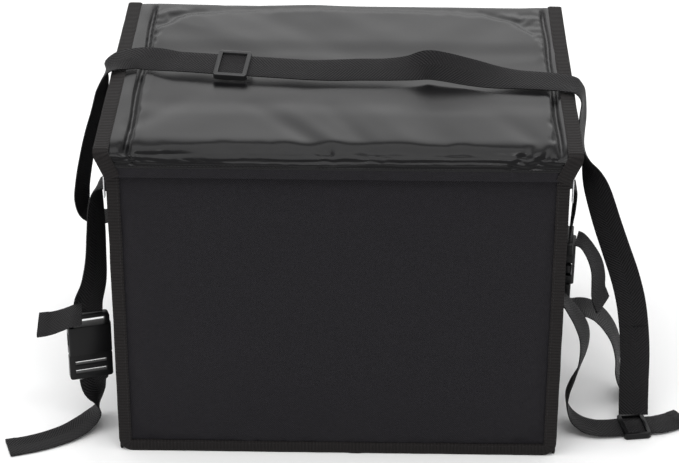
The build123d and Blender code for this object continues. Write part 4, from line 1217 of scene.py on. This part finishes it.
    def face_bindings(self, wardrobe: Wardrobe) -> None:
        """Folded tape round the front and back panels, with its stitches."""
        radius = 0.0078
        x, low = self.outer_x - self.seam / 2, self.seam / 2
        arc = [(math.sin(t), math.cos(t)) for t in np.linspace(0, math.pi / 2, 7)]
        half = [(x, z) for z in np.arange(self.wall_top, low + radius + 0.002, -0.004)]
        half += [(x - radius + radius * c, low + radius - radius * s) for s, c in arc]
        half += [(k, low) for k in np.arange(x - radius - 0.004, 0.002, -0.004)]
        path = half + [(0.0, low)] + [(-a, b) for a, b in reversed(half)]
        for name, sign in (("front", -1.0), ("back", 1.0)):
            middle = sign * (self.outer_y - 0.0017)
            points = np.array([(a, middle, b) for a, b in path])
            along = np.gradient(points, axis=0)
            along /= np.linalg.norm(along, axis=1)[:, None]
            out = np.cross(along, np.array([0, 1.0, 0]))
            points += out * (ripple(points, 0.03, 7.0 + sign) * 0.00035)[:, None]
            points[:, 1] += ripple(points, 0.02, 9.0 + sign) * 0.00025
            lap = np.exp(-((points[:, 0] - 0.018) / 0.006) ** 4) * (points[:, 2] < 0.02) * (sign < 0)
            points[:, 1] -= lap * 0.0008
            obj = Tape(self.seam, 0.0036, 0.62, columns=9).build(f"{name}_seam_binding", points, out)
            wardrobe.dress(obj, "seam_binding", "body", (f"{name}_binding",))
            inward = self.inward(points)
            line = points + inward * 0.0042
            line[:, 1] = sign * (self.outer_y + 0.0002)
            rows = Stitching().row([Vector(p) for p in line[::1]], Vector((0, sign, 0)))
            thread = Stitching().sew(f"{name}_binding_thread", rows)
            wardrobe.dress(thread, "seam_thread", "body")

    @staticmethod
    def inward(points: np.ndarray) -> np.ndarray:
        """Directions in the face's plane towards its middle."""
        along = np.gradient(points, axis=0)
        along /= np.linalg.norm(along, axis=1)[:, None]
        side = np.cross(along, np.array([0, 1.0, 0]))
        towards = np.array([0, 0, 0.17]) - points
        towards[:, 1] = 0
        flip = np.sign(np.sum(side * towards, axis=1))
        return side * flip[:, None]

    def base_bindings(self, wardrobe: Wardrobe) -> None:
        """Bound seams along the bottom of the side walls."""
        pieces = []
        for sign in (-1.0, 1.0):
            y = np.linspace(-0.1712, 0.1712, 87)
            out = np.full_like(y, sign * (self.half_x + 0.00175))
            points = np.stack([out, y, np.full_like(y, 0.0063)], axis=1)
            points[:, 0] += ripple(points, 0.03, 12.0) * 0.0002
            across = np.tile((0, 0, 1.0), (len(y), 1))
            pieces.append(Tape(0.0124, 0.0034, 0.62, columns=7).build("base_seam", points, across))
        only(*pieces)
        bpy.ops.object.join()
        obj = bpy.context.object
        obj.name = "side_base_seams"
        wardrobe.dress(obj, "seam_binding", "body", ("side_base_binding",))


# ---------------------------------------------------------------- the lid

@dataclass(frozen=True)
class Lid:
    """Padded lid with its front lip, side bindings, foil underside and fabric hinge."""

    half_x: float = 0.2184
    lip_half_x: float = 0.2077
    under_half_x: float = 0.2158
    back: float = 0.1722
    front: float = -0.1776
    top: float = 0.3400
    under: float = 0.3250
    lip_end: float = 0.3222
    lip_bottom: float = 0.3120
    seam_x: float = 0.2238
    seam_z: float = 0.33870
    seam_width: float = 0.0146
    seam_thickness: float = 0.0044
    columns: int = 89

    def build(self, wardrobe: Wardrobe) -> None:
        """Make and dress every piece of the lid."""
        self.pad(wardrobe)
        self.lip_band(wardrobe)
        self.side_bindings(wardrobe)
        self.foil(wardrobe)
        self.hinge(wardrobe)
        wardrobe.dress_node("hook_strip", "hook_and_loop")
        wardrobe.dress_node("loop_strip", "hook_and_loop")

    def profile(self) -> list:
        """The lid's section from back to front, round the lip and back: depth, height and half width."""
        points = [(y, self.top, self.half_x) for y in np.arange(self.back, -0.1690, -0.0054)]
        radius = 0.0078
        for turn in np.linspace(0, math.pi / 2, 7)[1:]:
            points.append((self.front + radius - radius * math.sin(turn),
                           self.top - radius + radius * math.cos(turn), self.half_x))
        for z in np.linspace(self.top - radius, self.lip_end, 10)[1:]:
            points.append((self.front - 0.0001, z, self.lip_width(z)))
        points.append((self.front + 0.0006, self.lip_end - 0.0005, self.lip_width(self.lip_end)))
        points.append((self.front + 0.0014, self.lip_end, self.lip_width(self.lip_end)))
        points.append((self.front + 0.0017, self.under - 0.0006, self.lip_width(self.under)))
        points.append((self.front + 0.0030, self.under, self.under_half_x))
        points += [(y, self.under, self.under_half_x)
                   for y in np.linspace(self.front + 0.010, self.back - 0.006, 30)]
        points += [(self.back, self.under, self.under_half_x), (self.back + 0.0001, 0.3300, 0.2170),
                   (self.back + 0.0001, 0.3360, 0.2180)]
        return points

    def lip_width(self, z: float) -> float:
        """Half of the lip's width at a height: its ends lean in towards the bottom."""
        share = min(max((0.3365 - z) / (0.3365 - self.lip_bottom), 0), 1)
        return self.half_x + (self.lip_half_x - self.half_x) * share

    def pad(self, wardrobe: Wardrobe) -> None:
        """The padded panel and the lip that rolls over its front."""
        section = self.profile()
        share = np.linspace(0, 1, self.columns)
        spread = np.concatenate([-1 + 0.16 * share[::4], np.linspace(-0.84, 0.84, self.columns)[1:-1],
                                 1 - 0.16 * share[::4][::-1]])
        rings = [[(u * half, y, z) for y, z, half in section] for u in spread]
        obj = loft("padded_lid", np.array(rings), close_start=True, close_end=True)
        outward(obj)
        points = coordinates(obj)
        inflate(obj, self.pins(points), self.limits, pressure=3.0, slack=0.010)
        self.shape_top(obj)
        apply_modifier(obj, "SUBSURF", levels=1, render_levels=1)
        smooth(obj, 60)
        wardrobe.dress(obj, "coated_lid", "lid", ("lid_cover", "lid_foam", "lid_front_lip"))

    def pins(self, points: np.ndarray) -> np.ndarray:
        """The seams hold the sides, the back, the underside and the lip's edge."""
        x, y, z = points.T
        free = step(0.2050, 0.1960, x * -1) * (1 - step(0.2040, 0.2120, x))
        free = np.where(x < 0, 1 - step(0.1960, 0.2050, -x), free)
        free *= 1 - step(0.150, 0.166, y)
        free *= np.where(y < -0.168, step(0.326, 0.334, z), 1.0) * (z > self.under + 0.002)
        return 1 - free

    def limits(self, points: np.ndarray, normals: np.ndarray) -> tuple:
        """The top stays low under the strap and its adjuster."""
        y = points[:, 1]
        beside = step(0.055, 0.090, np.abs(y + 0.012))
        return np.full(len(y), -0.0020), 0.0006 + 0.0012 * beside

    def shape_top(self, obj: bpy.types.Object) -> None:
        """Work in the valleys beside the pad, the folds of the top and the creases of the lip."""
        points = coordinates(obj)
        x, y, z = points.T
        top = (z > self.top - 0.0045) & (y > self.front + 0.003)
        roll = (y < -0.160) & (z > self.under)
        lift = np.zeros(len(points))
        ends = step(-0.178, -0.160, y) * (1 - step(0.150, 0.168, y))
        lift -= np.exp(-((x + 0.2010 - 0.0010 * np.sin(y * 40)) / 0.0026) ** 2) * 0.0046 * ends
        lift -= np.exp(-((x - 0.2105 + 0.0006 * np.sin(y * 55)) / 0.0024) ** 2) * 0.0040 * ends
        lift += np.exp(-((x + 0.1920) / 0.0050) ** 2) * 0.0009 * ends
        lift += np.exp(-((x - 0.2030) / 0.0045) ** 2) * 0.0006 * ends
        for start, end, width, height in LID_FOLDS:
            line = crease(points[:, :2], start, end, width)
            lift += line * height
        lift += ripple(points, 0.110, 3.0) * 0.0010 + ripple(points, 0.040, 6.0) * 0.00035
        strap = 1 - step(0.030, 0.060, np.abs(y + 0.010))
        lift = np.minimum(lift, 0.0010 - 0.0008 * strap)
        points[:, 2] += np.where(top, lift, 0) * step(0.0, 0.006, self.half_x - np.abs(x))
        sag = 0.0042 * np.clip((-0.152 - points[:, 1]) / 0.020, 0, 1) ** 2
        points[:, 2] -= sag * np.clip((points[:, 2] - self.under) / (self.top - self.under), 0, 1)
        self.crease_lip(points, roll)
        place_points(obj, points)

    def crease_lip(self, points: np.ndarray, roll: np.ndarray) -> None:
        """Pinches along the front edge and the long creases of the lip, worked in from its face."""
        x, _, z = points.T
        push = np.zeros(len(points))
        for at, width, depth, slant in LIP_PINCHES:
            pinch = np.exp(-((x - at - slant * (z - 0.334)) / width) ** 2) * depth
            push += pinch * (1 - 0.6 * step(0.334, 0.326, z))
        wander = 0.0012 * np.sin(x * 17) + 0.0006 * np.sin(x * 53)
        for height, width, depth in LIP_CREASES:
            push += np.exp(-((z - height - wander) / width) ** 2) * depth
        push += ripple(points * np.array([0.30, 1, 1.8]), 0.012, 11.0) * 0.0013
        inward = np.clip(push, -0.0005, 0.004)
        share = step(-0.160, -0.1755, points[:, 1])
        points[:, 1] += np.where(roll, inward * share, 0)
        drop = np.clip(push, 0, 0.004) * 0.6 * step(-0.150, -0.170, points[:, 1])
        points[:, 2] -= np.where(roll & (z > 0.334), drop, 0)

    def lip_band(self, wardrobe: Wardrobe) -> None:
        """Cloth band sewn inside the lip's lower edge, and its thread."""
        x = np.linspace(-1, 1, 110)
        middle = (self.lip_bottom + self.lip_end + 0.0022) / 2
        points = np.stack([x * (self.lip_width(middle) - 0.0004), np.full_like(x, self.front + 0.0011),
                           np.full_like(x, middle)], axis=1)
        across = np.tile((0, 0, 1.0), (len(x), 1))
        width = self.lip_end + 0.0022 - self.lip_bottom
        obj = Tape(width, 0.0016, 0.6, columns=12).build("lip_band", points, across)
        places = coordinates(obj)
        places[:, 1] += ripple(places * np.array([1, 1, 1.5]), 0.035, 15.0) * 0.0005
        place_points(obj, places)
        wardrobe.dress(obj, "oxford_cloth", "lid")
        line = [Vector((k, self.front - 0.0003, self.lip_end + 0.0026))
                for k in np.linspace(-0.2105, 0.2105, 3)]
        thread = Stitching().sew("lip_thread", Stitching().row(line, Vector((0, -1, 0))))
        wardrobe.dress(thread, "seam_thread", "lid")

    def side_bindings(self, wardrobe: Wardrobe) -> None:
        """Folded tape along the lid's sides and down the lip's ends."""
        radius = 0.0060
        for name, sign in SIDES.items():
            path = [(self.seam_x, y, self.seam_z) for y in np.arange(0.1722, -0.1705, -0.004)]
            for turn in np.linspace(0, math.pi / 2, 6):
                z = self.seam_z - radius + radius * math.cos(turn)
                path.append((self.seam_x - self.lean(z), -0.17110 - radius * math.sin(turn), z))
            for z in np.linspace(self.seam_z - radius, 0.3121, 8)[1:]:
                path.append((self.seam_x - self.lean(z), -0.17710, z))
            points = np.array(path) * np.array([sign, 1, 1])
            points[:, 0] += ripple(points, 0.028, 20.0 + sign) * 0.0004
            points[:, 2] += ripple(points, 0.022, 23.0 + sign) * 0.0003
            across = np.tile((sign * 1.0, 0, 0), (len(points), 1))
            tape = Tape(self.seam_width, self.seam_thickness, 0.6, columns=9)
            obj = tape.build(f"{name}_lid_seam", points, across)
            wardrobe.dress(obj, "seam_binding", "lid", (f"{name}_lid_binding",))
            line = [Vector((sign * 0.2204, y, 0.34045)) for y in (0.170, 0.0, -0.168)]
            thread = Stitching().sew(f"{name}_lid_thread", Stitching().row(line, Vector((0, 0, 1))))
            wardrobe.dress(thread, "seam_thread", "lid")

    def lean(self, z: float) -> float:
        """How far in the lip's end is at a height."""
        return self.half_x - self.lip_width(z)

    def foil(self, wardrobe: Wardrobe) -> None:
        """Creased foil on the lid's underside."""
        bpy.ops.object.select_all(action="DESELECT")
        bpy.ops.mesh.primitive_grid_add(x_subdivisions=84, y_subdivisions=68, size=1,
                                        location=(0, -0.0014, 0.3246))
        obj = bpy.context.object
        obj.name = "lid_foil_sheet"
        obj.scale = (2 * self.under_half_x - 0.001, 0.3460, 1)
        settle(obj)
        points = coordinates(obj)
        edge = np.minimum(self.under_half_x - np.abs(points[:, 0]), 0.171 - np.abs(points[:, 1] + 0.0014))
        points[:, 2] += ripple(points, 0.03, 31.0) * 0.0003 * step(0.0, 0.02, edge)
        place_points(obj, points)
        apply_modifier(obj, "SOLIDIFY", thickness=0.0005, offset=0.0)
        smooth(obj, 40)
        wardrobe.dress(obj, "foil_lining", "lid", ("lid_foil",))

    def hinge(self, wardrobe: Wardrobe) -> None:
        """Fabric hinge along the back, a flat strip reaching from the back wall up to the lid."""
        x = np.linspace(-0.2070, 0.2070, 90)
        points = np.stack([x, np.full_like(x, 0.17335), np.full_like(x, 0.3168)], axis=1)
        across = np.tile((0, 0, 1.0), (len(x), 1))
        obj = Tape(0.0416, 0.0011, 0.8, columns=26).build("fabric_hinge", points, across)
        wardrobe.dress(obj, "oxford_cloth", None, ("hinge_tape",))
        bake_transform(obj)


# ---------------------------------------------------------------- webbing

class Hold(Enum):
    """How a length of webbing is held."""

    HUNG = "hung"
    LAID = "laid"


@dataclass(frozen=True)
class Strap:
    """One length of webbing along a route.

    Attributes:
        name: The piece's name.
        route: Its stations.
        node: The node that it stands for.
        hold: How it is held; not used.
        rests_on: What it lies on or hangs from; not used.
        thickness: Its thickness.
        hem: How much of each end is folded over.
        cup: How far its edges curl.
    """

    name: str
    route: Sequence
    node: str
    hold: Hold
    rests_on: tuple
    thickness: float = 0.0018
    hem: tuple = (0.0, 0.0)
    cup: float = 0.0

    def build(self, wardrobe: Wardrobe) -> bpy.types.Object:
        points, across, _ = follow(self.route, 0.003)
        obj = Tape(WEB_WIDTH, self.thickness, 0.6, self.cup, self.hem).build(self.name, points, across)
        wardrobe.dress(obj, "strap_webbing", "body", (self.node,))
        return obj


@dataclass(frozen=True)
class SlingStrap:
    """The long strap that crosses the lid, in four lengths: the length over the lid rides on the lid, the end
    loop on the body, and the two hung lengths are left unattached.
    """

    spacing: float = 0.003

    def build(self, wardrobe: Wardrobe) -> None:
        """Make every length from one smooth line, so that they meet edge to edge."""
        points, across, marks = follow(SLING_ROUTE, self.spacing)
        frames = directions(points, across)
        lengths = np.concatenate([[0], np.cumsum(np.linalg.norm(np.diff(points, axis=0), axis=1))])
        cuts = [0, marks[SLING_LEFT_END], marks[SLING_OVER_END], marks[SLING_RIGHT_END], len(points) - 1]
        names = (("sling_strap_left", "sling_left", Hold.HUNG, 0.0018),
                 ("sling_strap_over_lid", "sling_over_lid", Hold.LAID, 0.0018),
                 ("sling_strap_right", "sling_right", Hold.HUNG, 0.0018),
                 ("sling_strap_loop", "sling_end_loop", Hold.HUNG, 0.0034))
        for (name, node, held, thick), start, end in zip(names, cuts, cuts[1:]):
            part = slice(start, end + 1)
            own = tuple(f[part] for f in frames)
            tape = Tape(WEB_WIDTH, thick, 0.6, 0.0)
            obj = tape.build(name, points[part], across[part], own, float(lengths[start]))
            body = {"sling_left": None, "sling_right": None, "sling_over_lid": "lid"}.get(node, "body")
            wardrobe.dress(obj, "strap_webbing", body, (node,))
            rests = ["left_wall_patches"] if node == "sling_left" else ["padded_lid"]
            rests = ["floor_lock_frame"] if node == "sling_end_loop" else rests
            if node == "sling_left":
                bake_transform(obj)
            if node == "sling_right":
                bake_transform(obj)
        self.loop_stitches(wardrobe, points, frames, marks)

    def loop_stitches(self, wardrobe: Wardrobe, points: np.ndarray, frames: tuple, marks: list) -> None:
        """Rows of thread across the top of the doubled end."""
        places = []
        seam = Stitching(length=0.0018, pitch=0.0026, width=0.0005)
        for offset in (2, 6):
            k = marks[SLING_RIGHT_END] + offset
            for face in (-1, 1):
                lift = frames[2][k] * 0.0019 * face
                row = [Vector(points[k] + frames[1][k] * s + lift) for s in (-0.0125, 0.0125)]
                places += seam.row(row, Vector(frames[2][k] * face))
        thread = seam.sew("sling_loop_thread", places)
        wardrobe.dress(thread, "seam_thread", "body")


@dataclass(frozen=True)
class WallPatches:
    """Cloth patches on the side walls that hold the straps' ends, with their thread."""

    half: float = 0.0170
    low: float = 0.2260
    high: float = 0.2600
    wall: float = 0.2160
    thickness: float = 0.0019

    def build(self, wardrobe: Wardrobe) -> None:
        """Make both sides' patches and their thread."""
        spots = {"left": ((-0.112, self.low, self.high), (0.031, self.low, self.high)),
                 "right": ((-0.094, self.low, self.high), (-0.134, 0.1600, 0.1940))}
        for name, sign in SIDES.items():
            pieces = [self.patch(sign, *spot) for spot in spots[name]]
            only(*pieces)
            bpy.ops.object.join()
            obj = bpy.context.object
            obj.name = f"{name}_wall_patches"
            wardrobe.dress(obj, "oxford_cloth", "body", (f"{name}_strap_patches",))
            places = []
            for y, low, high in spots[name]:
                places += box_stitch(self.wall + 0.00405, y, low + 0.0225, 0.0125, 0.0065, sign)
                places += self.hem(sign, y, low, high)
            thread = Stitching(length=0.0018, pitch=0.0025, width=0.0005).sew(f"{name}_patch_thread", places)
            wardrobe.dress(thread, "seam_thread", "body")

    def patch(self, sign: float, y: float, low: float, high: float) -> bpy.types.Object:
        """One patch with turned-in edges and rounded corners."""
        inner, outer = sorted((sign * (self.wall - 0.0008), sign * (self.wall + self.thickness)))
        obj = block("patch", (inner, y - self.half, low), (outer, y + self.half, high))
        edit_faces(obj, lambda centre, normal: normal.x * sign > 0.9)
        bpy.ops.mesh.inset(thickness=0.0030, depth=0.0)
        bpy.ops.mesh.inset(thickness=0.0010, depth=-0.0005)
        leave_edit()
        apply_modifier(obj, "BEVEL", width=0.0006, segments=2, limit_method="ANGLE")
        smooth(obj, 40)
        return obj

    def hem(self, sign: float, y: float, low: float, high: float) -> list:
        """Thread round a patch, near its edge."""
        inset = 0.0016
        corners = [Vector((sign * (self.wall + self.thickness + 0.0002), y + a * (self.half - inset), z))
                   for a, z in ((-1, low + inset), (1, low + inset), (1, high - inset), (-1, high - inset))]
        seam = Stitching(pitch=0.0027, length=0.0019, width=0.0005)
        return seam.row(corners + corners[:1], Vector((sign, 0, 0)))


def side_straps() -> tuple:
    """Every strap on the two sides, apart from the sling."""
    rows = (
        ("left_tie_strap", LEFT_SIDE_STRAP_ROUTE, "left_side_strap", "left_wall_patches", 0.0),
        ("left_tie_stub", LEFT_STUB_ROUTE, "left_strap_stub", "left_tie_strap", 0.010),
        ("left_tie_tail", LEFT_TAIL_ROUTE, "left_strap_tail", "left_buckle_plug", 0.012),
        ("right_tie_strap", RIGHT_SIDE_STRAP_ROUTE, "right_side_strap", "right_wall_patches", 0.0),
        ("right_tie_stub", RIGHT_STUB_ROUTE, "right_strap_stub", "right_tie_strap", 0.010),
        ("right_tie_tail", RIGHT_TAIL_ROUTE, "right_strap_tail", "right_buckle_plug", 0.012),
        ("floor_strap", FLOOR_WEBBING_ROUTE, "floor_webbing", "right_wall_patches", 0.010),
    )
    return tuple(Strap(name, route, node, Hold.HUNG, (below,), hem=(0.0, hem))
                 for name, route, node, below, hem in rows)


# ---------------------------------------------------------------- zips

@dataclass(frozen=True)
class Zip:
    """One side zip: tapes, rows of teeth, slider and pull."""

    name: str
    sign: float
    front: float = -0.1660
    back: float = 0.1280
    middle: float = 0.3080
    x: float = 0.2190
    pitch: float = 0.0016

    def build(self, wardrobe: Wardrobe) -> None:
        """Make and dress the zip's pieces."""
        self.teeth(wardrobe, "zip_teeth", "body", -1.0)
        self.teeth(wardrobe, "lid_zip_teeth", "lid", 1.0)
        for node in ("zip_tape", "lid_zip_tape"):
            wardrobe.dress_node(f"{self.name}_{node}", "zip_cloth")
        self.tape_thread(wardrobe)

    def tooth(self, up: float) -> bpy.types.Object:
        """One tooth of a row: a wedge with a rounded nose towards the other row."""
        low, high = sorted((up * 0.0008, up * 0.0040))
        obj = block("tooth_model", (-0.0013, -0.0005, low), (0.0013, 0.0005, high))
        edit_faces(obj, lambda centre, normal: normal.z * up < -0.9)
        bpy.ops.transform.resize(value=(0.72, 1.25, 1))
        bpy.ops.mesh.select_all(action="SELECT")
        bpy.ops.mesh.bevel(offset=0.00022, segments=1)
        leave_edit()
        return obj

    def teeth(self, wardrobe: Wardrobe, node: str, body: str, up: float) -> None:
        """A row of teeth along one tape, set between those of the other row."""
        shift = 0.0004 if up > 0 else 0.0012
        spots = np.arange(self.front + shift + 0.0004, self.back - 0.0008, self.pitch)
        places = [Matrix.Translation((self.sign * self.x, y, self.middle)) for y in spots]
        obj = scatter(f"{self.name}_{node}_row", self.tooth(up), places)
        smooth(obj, 30)
        wardrobe.dress(obj, "zip_coil", body, (f"{self.name}_{node}",))

    def tape_thread(self, wardrobe: Wardrobe) -> None:
        """Thread along the hem that holds the lower tape."""
        x = self.sign * 0.21955
        line = [Vector((x, y, 0.2962)) for y in (-0.164, 0.0, 0.138)]
        thread = Stitching().sew(f"{self.name}_zip_thread", Stitching().row(line, Vector((self.sign, 0, 0))))
        wardrobe.dress(thread, "seam_thread", "body")


# ---------------------------------------------------------------- buckles and fittings

@dataclass(frozen=True)
class Fitting:
    """A moulded or cast piece with its hard edges softened."""

    node: str
    body: str
    finish: str
    edge: float

    def build(self, wardrobe: Wardrobe) -> bpy.types.Object:
        """Copy the node's shape, merge it, round its edges and dress it."""
        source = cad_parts[self.node]
        ending = "frame" if self.node == "floor_lock" else "moulding"
        obj = bpy.data.objects.new(f"{self.node}_{ending}", source.data.copy())
        bpy.context.scene.collection.objects.link(obj)
        only(obj)
        bpy.ops.object.mode_set(mode="EDIT")
        bpy.ops.mesh.select_all(action="SELECT")
        bpy.ops.mesh.remove_doubles(threshold=0.00001)
        bpy.ops.mesh.dissolve_limited(angle_limit=math.radians(4))
        leave_edit()
        apply_modifier(obj, "BEVEL", width=self.edge, segments=2, limit_method="ANGLE",
                       angle_limit=math.radians(40), use_clamp_overlap=True)
        apply_modifier(obj, "TRIANGULATE")
        smooth(obj, 35)
        wardrobe.dress(obj, self.finish, self.body, (self.node,))
        return obj


def fittings() -> tuple:
    """Every hard fitting with its body, finish and edge radius."""
    found = [Fitting("sling_glide", "sling_glide", "glide_plastic", 0.0004),
             Fitting("floor_lock", "body", "buckle_plastic", 0.0004)]
    for side in SIDES:
        found += [Fitting(f"{side}_buckle_socket", "body", "buckle_plastic", 0.0006),
                  Fitting(f"{side}_buckle_plug", "body", "buckle_plastic", 0.0006),
                  *(Fitting(prong, prong, "buckle_plastic", 0.0005)
                    for prong in (f"{side}_buckle_outer_prong", f"{side}_buckle_inner_prong")),
                  *(Fitting(piece, piece, "plated_metal", 0.0002)
                    for piece in (f"{side}_zip_slider", f"{side}_zip_pull"))]
    return tuple(found)


# ---------------------------------------------------------------- studio

# Square lamps: name, place, size and power.
LAMPS = (
    ("over", (0.0, -0.3, 3.2), 3.0, 60),
    ("behind", (0.1, 3.4, 2.2), 2.6, 20),
    ("left", (-2.0, -0.6, 1.6), 1.0, 12),
    ("glint", (0.5, -1.3, 2.6), 0.30, 4),
)


@dataclass(frozen=True)
class Studio:
    """Floor, lights and camera."""

    eye: tuple = (0.0404, -2.1519, 1.3458)
    azimuth: float = -1.12
    elevation: float = 28.88
    roll: float = 0.12
    lens: float = 125.1

    def build(self) -> None:
        """Set up the whole studio."""
        self.camera()
        self.floor()
        self.lights()

    def camera(self) -> None:
        """Look down at the bag's front."""
        az, el, ro = (math.radians(v) for v in (self.azimuth, self.elevation, self.roll))
        ahead = Vector((math.sin(az) * math.cos(el), math.cos(az) * math.cos(el), -math.sin(el)))
        right = Vector((math.cos(az), -math.sin(az), 0))
        up = right.cross(ahead)
        turned = math.cos(ro) * right + math.sin(ro) * up
        upright = -math.sin(ro) * right + math.cos(ro) * up
        data = bpy.data.cameras.new("view")
        data.lens = self.lens
        data.sensor_width = 36.0
        data.sensor_fit = "HORIZONTAL"
        data.clip_end = 50
        obj = bpy.data.objects.new("view", data)
        matrix = Matrix((turned, upright, -ahead)).transposed().to_4x4()
        matrix.translation = Vector(self.eye)
        obj.matrix_world = matrix
        bpy.context.scene.collection.objects.link(obj)
        bpy.context.scene.camera = obj
        bpy.context.scene.view_settings.view_transform = "Standard"

    def floor(self) -> None:
        """A large pale floor."""
        bpy.ops.object.select_all(action="DESELECT")
        bpy.ops.mesh.primitive_plane_add(size=40, location=(0, 0, -0.0004))
        obj = bpy.context.object
        obj.name = "floor"
        material = bpy.data.materials.new("pale_floor")
        material.use_nodes = True
        shader = material.node_tree.nodes["Principled BSDF"]
        shader.inputs["Base Color"].default_value = (0.93, 0.93, 0.93, 1)
        shader.inputs["Roughness"].default_value = 0.9
        shader.inputs["Specular IOR Level"].default_value = 0.1
        obj.data.materials.append(material)

    def lights(self) -> None:
        """Even sky, wide lamps above, behind and at the left, and one small lamp for glints."""
        world = bpy.data.worlds.new("studio")
        bpy.context.scene.world = world
        world.use_nodes = True
        sky = world.node_tree.nodes["Background"]
        sky.inputs["Color"].default_value = (1, 1, 1, 1)
        sky.inputs["Strength"].default_value = 0.75
        for name, place, size, power in LAMPS:
            data = bpy.data.lights.new(name, "AREA")
            data.shape = "SQUARE"
            data.size = size
            data.energy = power
            obj = bpy.data.objects.new(name, data)
            obj.location = place
            obj.rotation_euler = (Vector((0, 0, 0.2)) - Vector(place)).to_track_quat("-Z", "Y").to_euler()
            bpy.context.scene.collection.objects.link(obj)


# ---------------------------------------------------------------- everything

def main() -> None:
    """Build the studio and every piece of the bag, in order."""
    logging.basicConfig(level=logging.INFO, format="%(message)s")
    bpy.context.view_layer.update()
    Studio().build()
    wardrobe = Wardrobe()
    Body().build(wardrobe)
    Lid().build(wardrobe)
    WallPatches().build(wardrobe)
    for name, sign in SIDES.items():
        Zip(name, sign).build(wardrobe)
    for fitting in fittings():
        fitting.build(wardrobe)
    SlingStrap().build(wardrobe)
    for strap in side_straps():
        strap.build(wardrobe)
    bpy.context.view_layer.update()


if __name__ == "__main__":
    main()
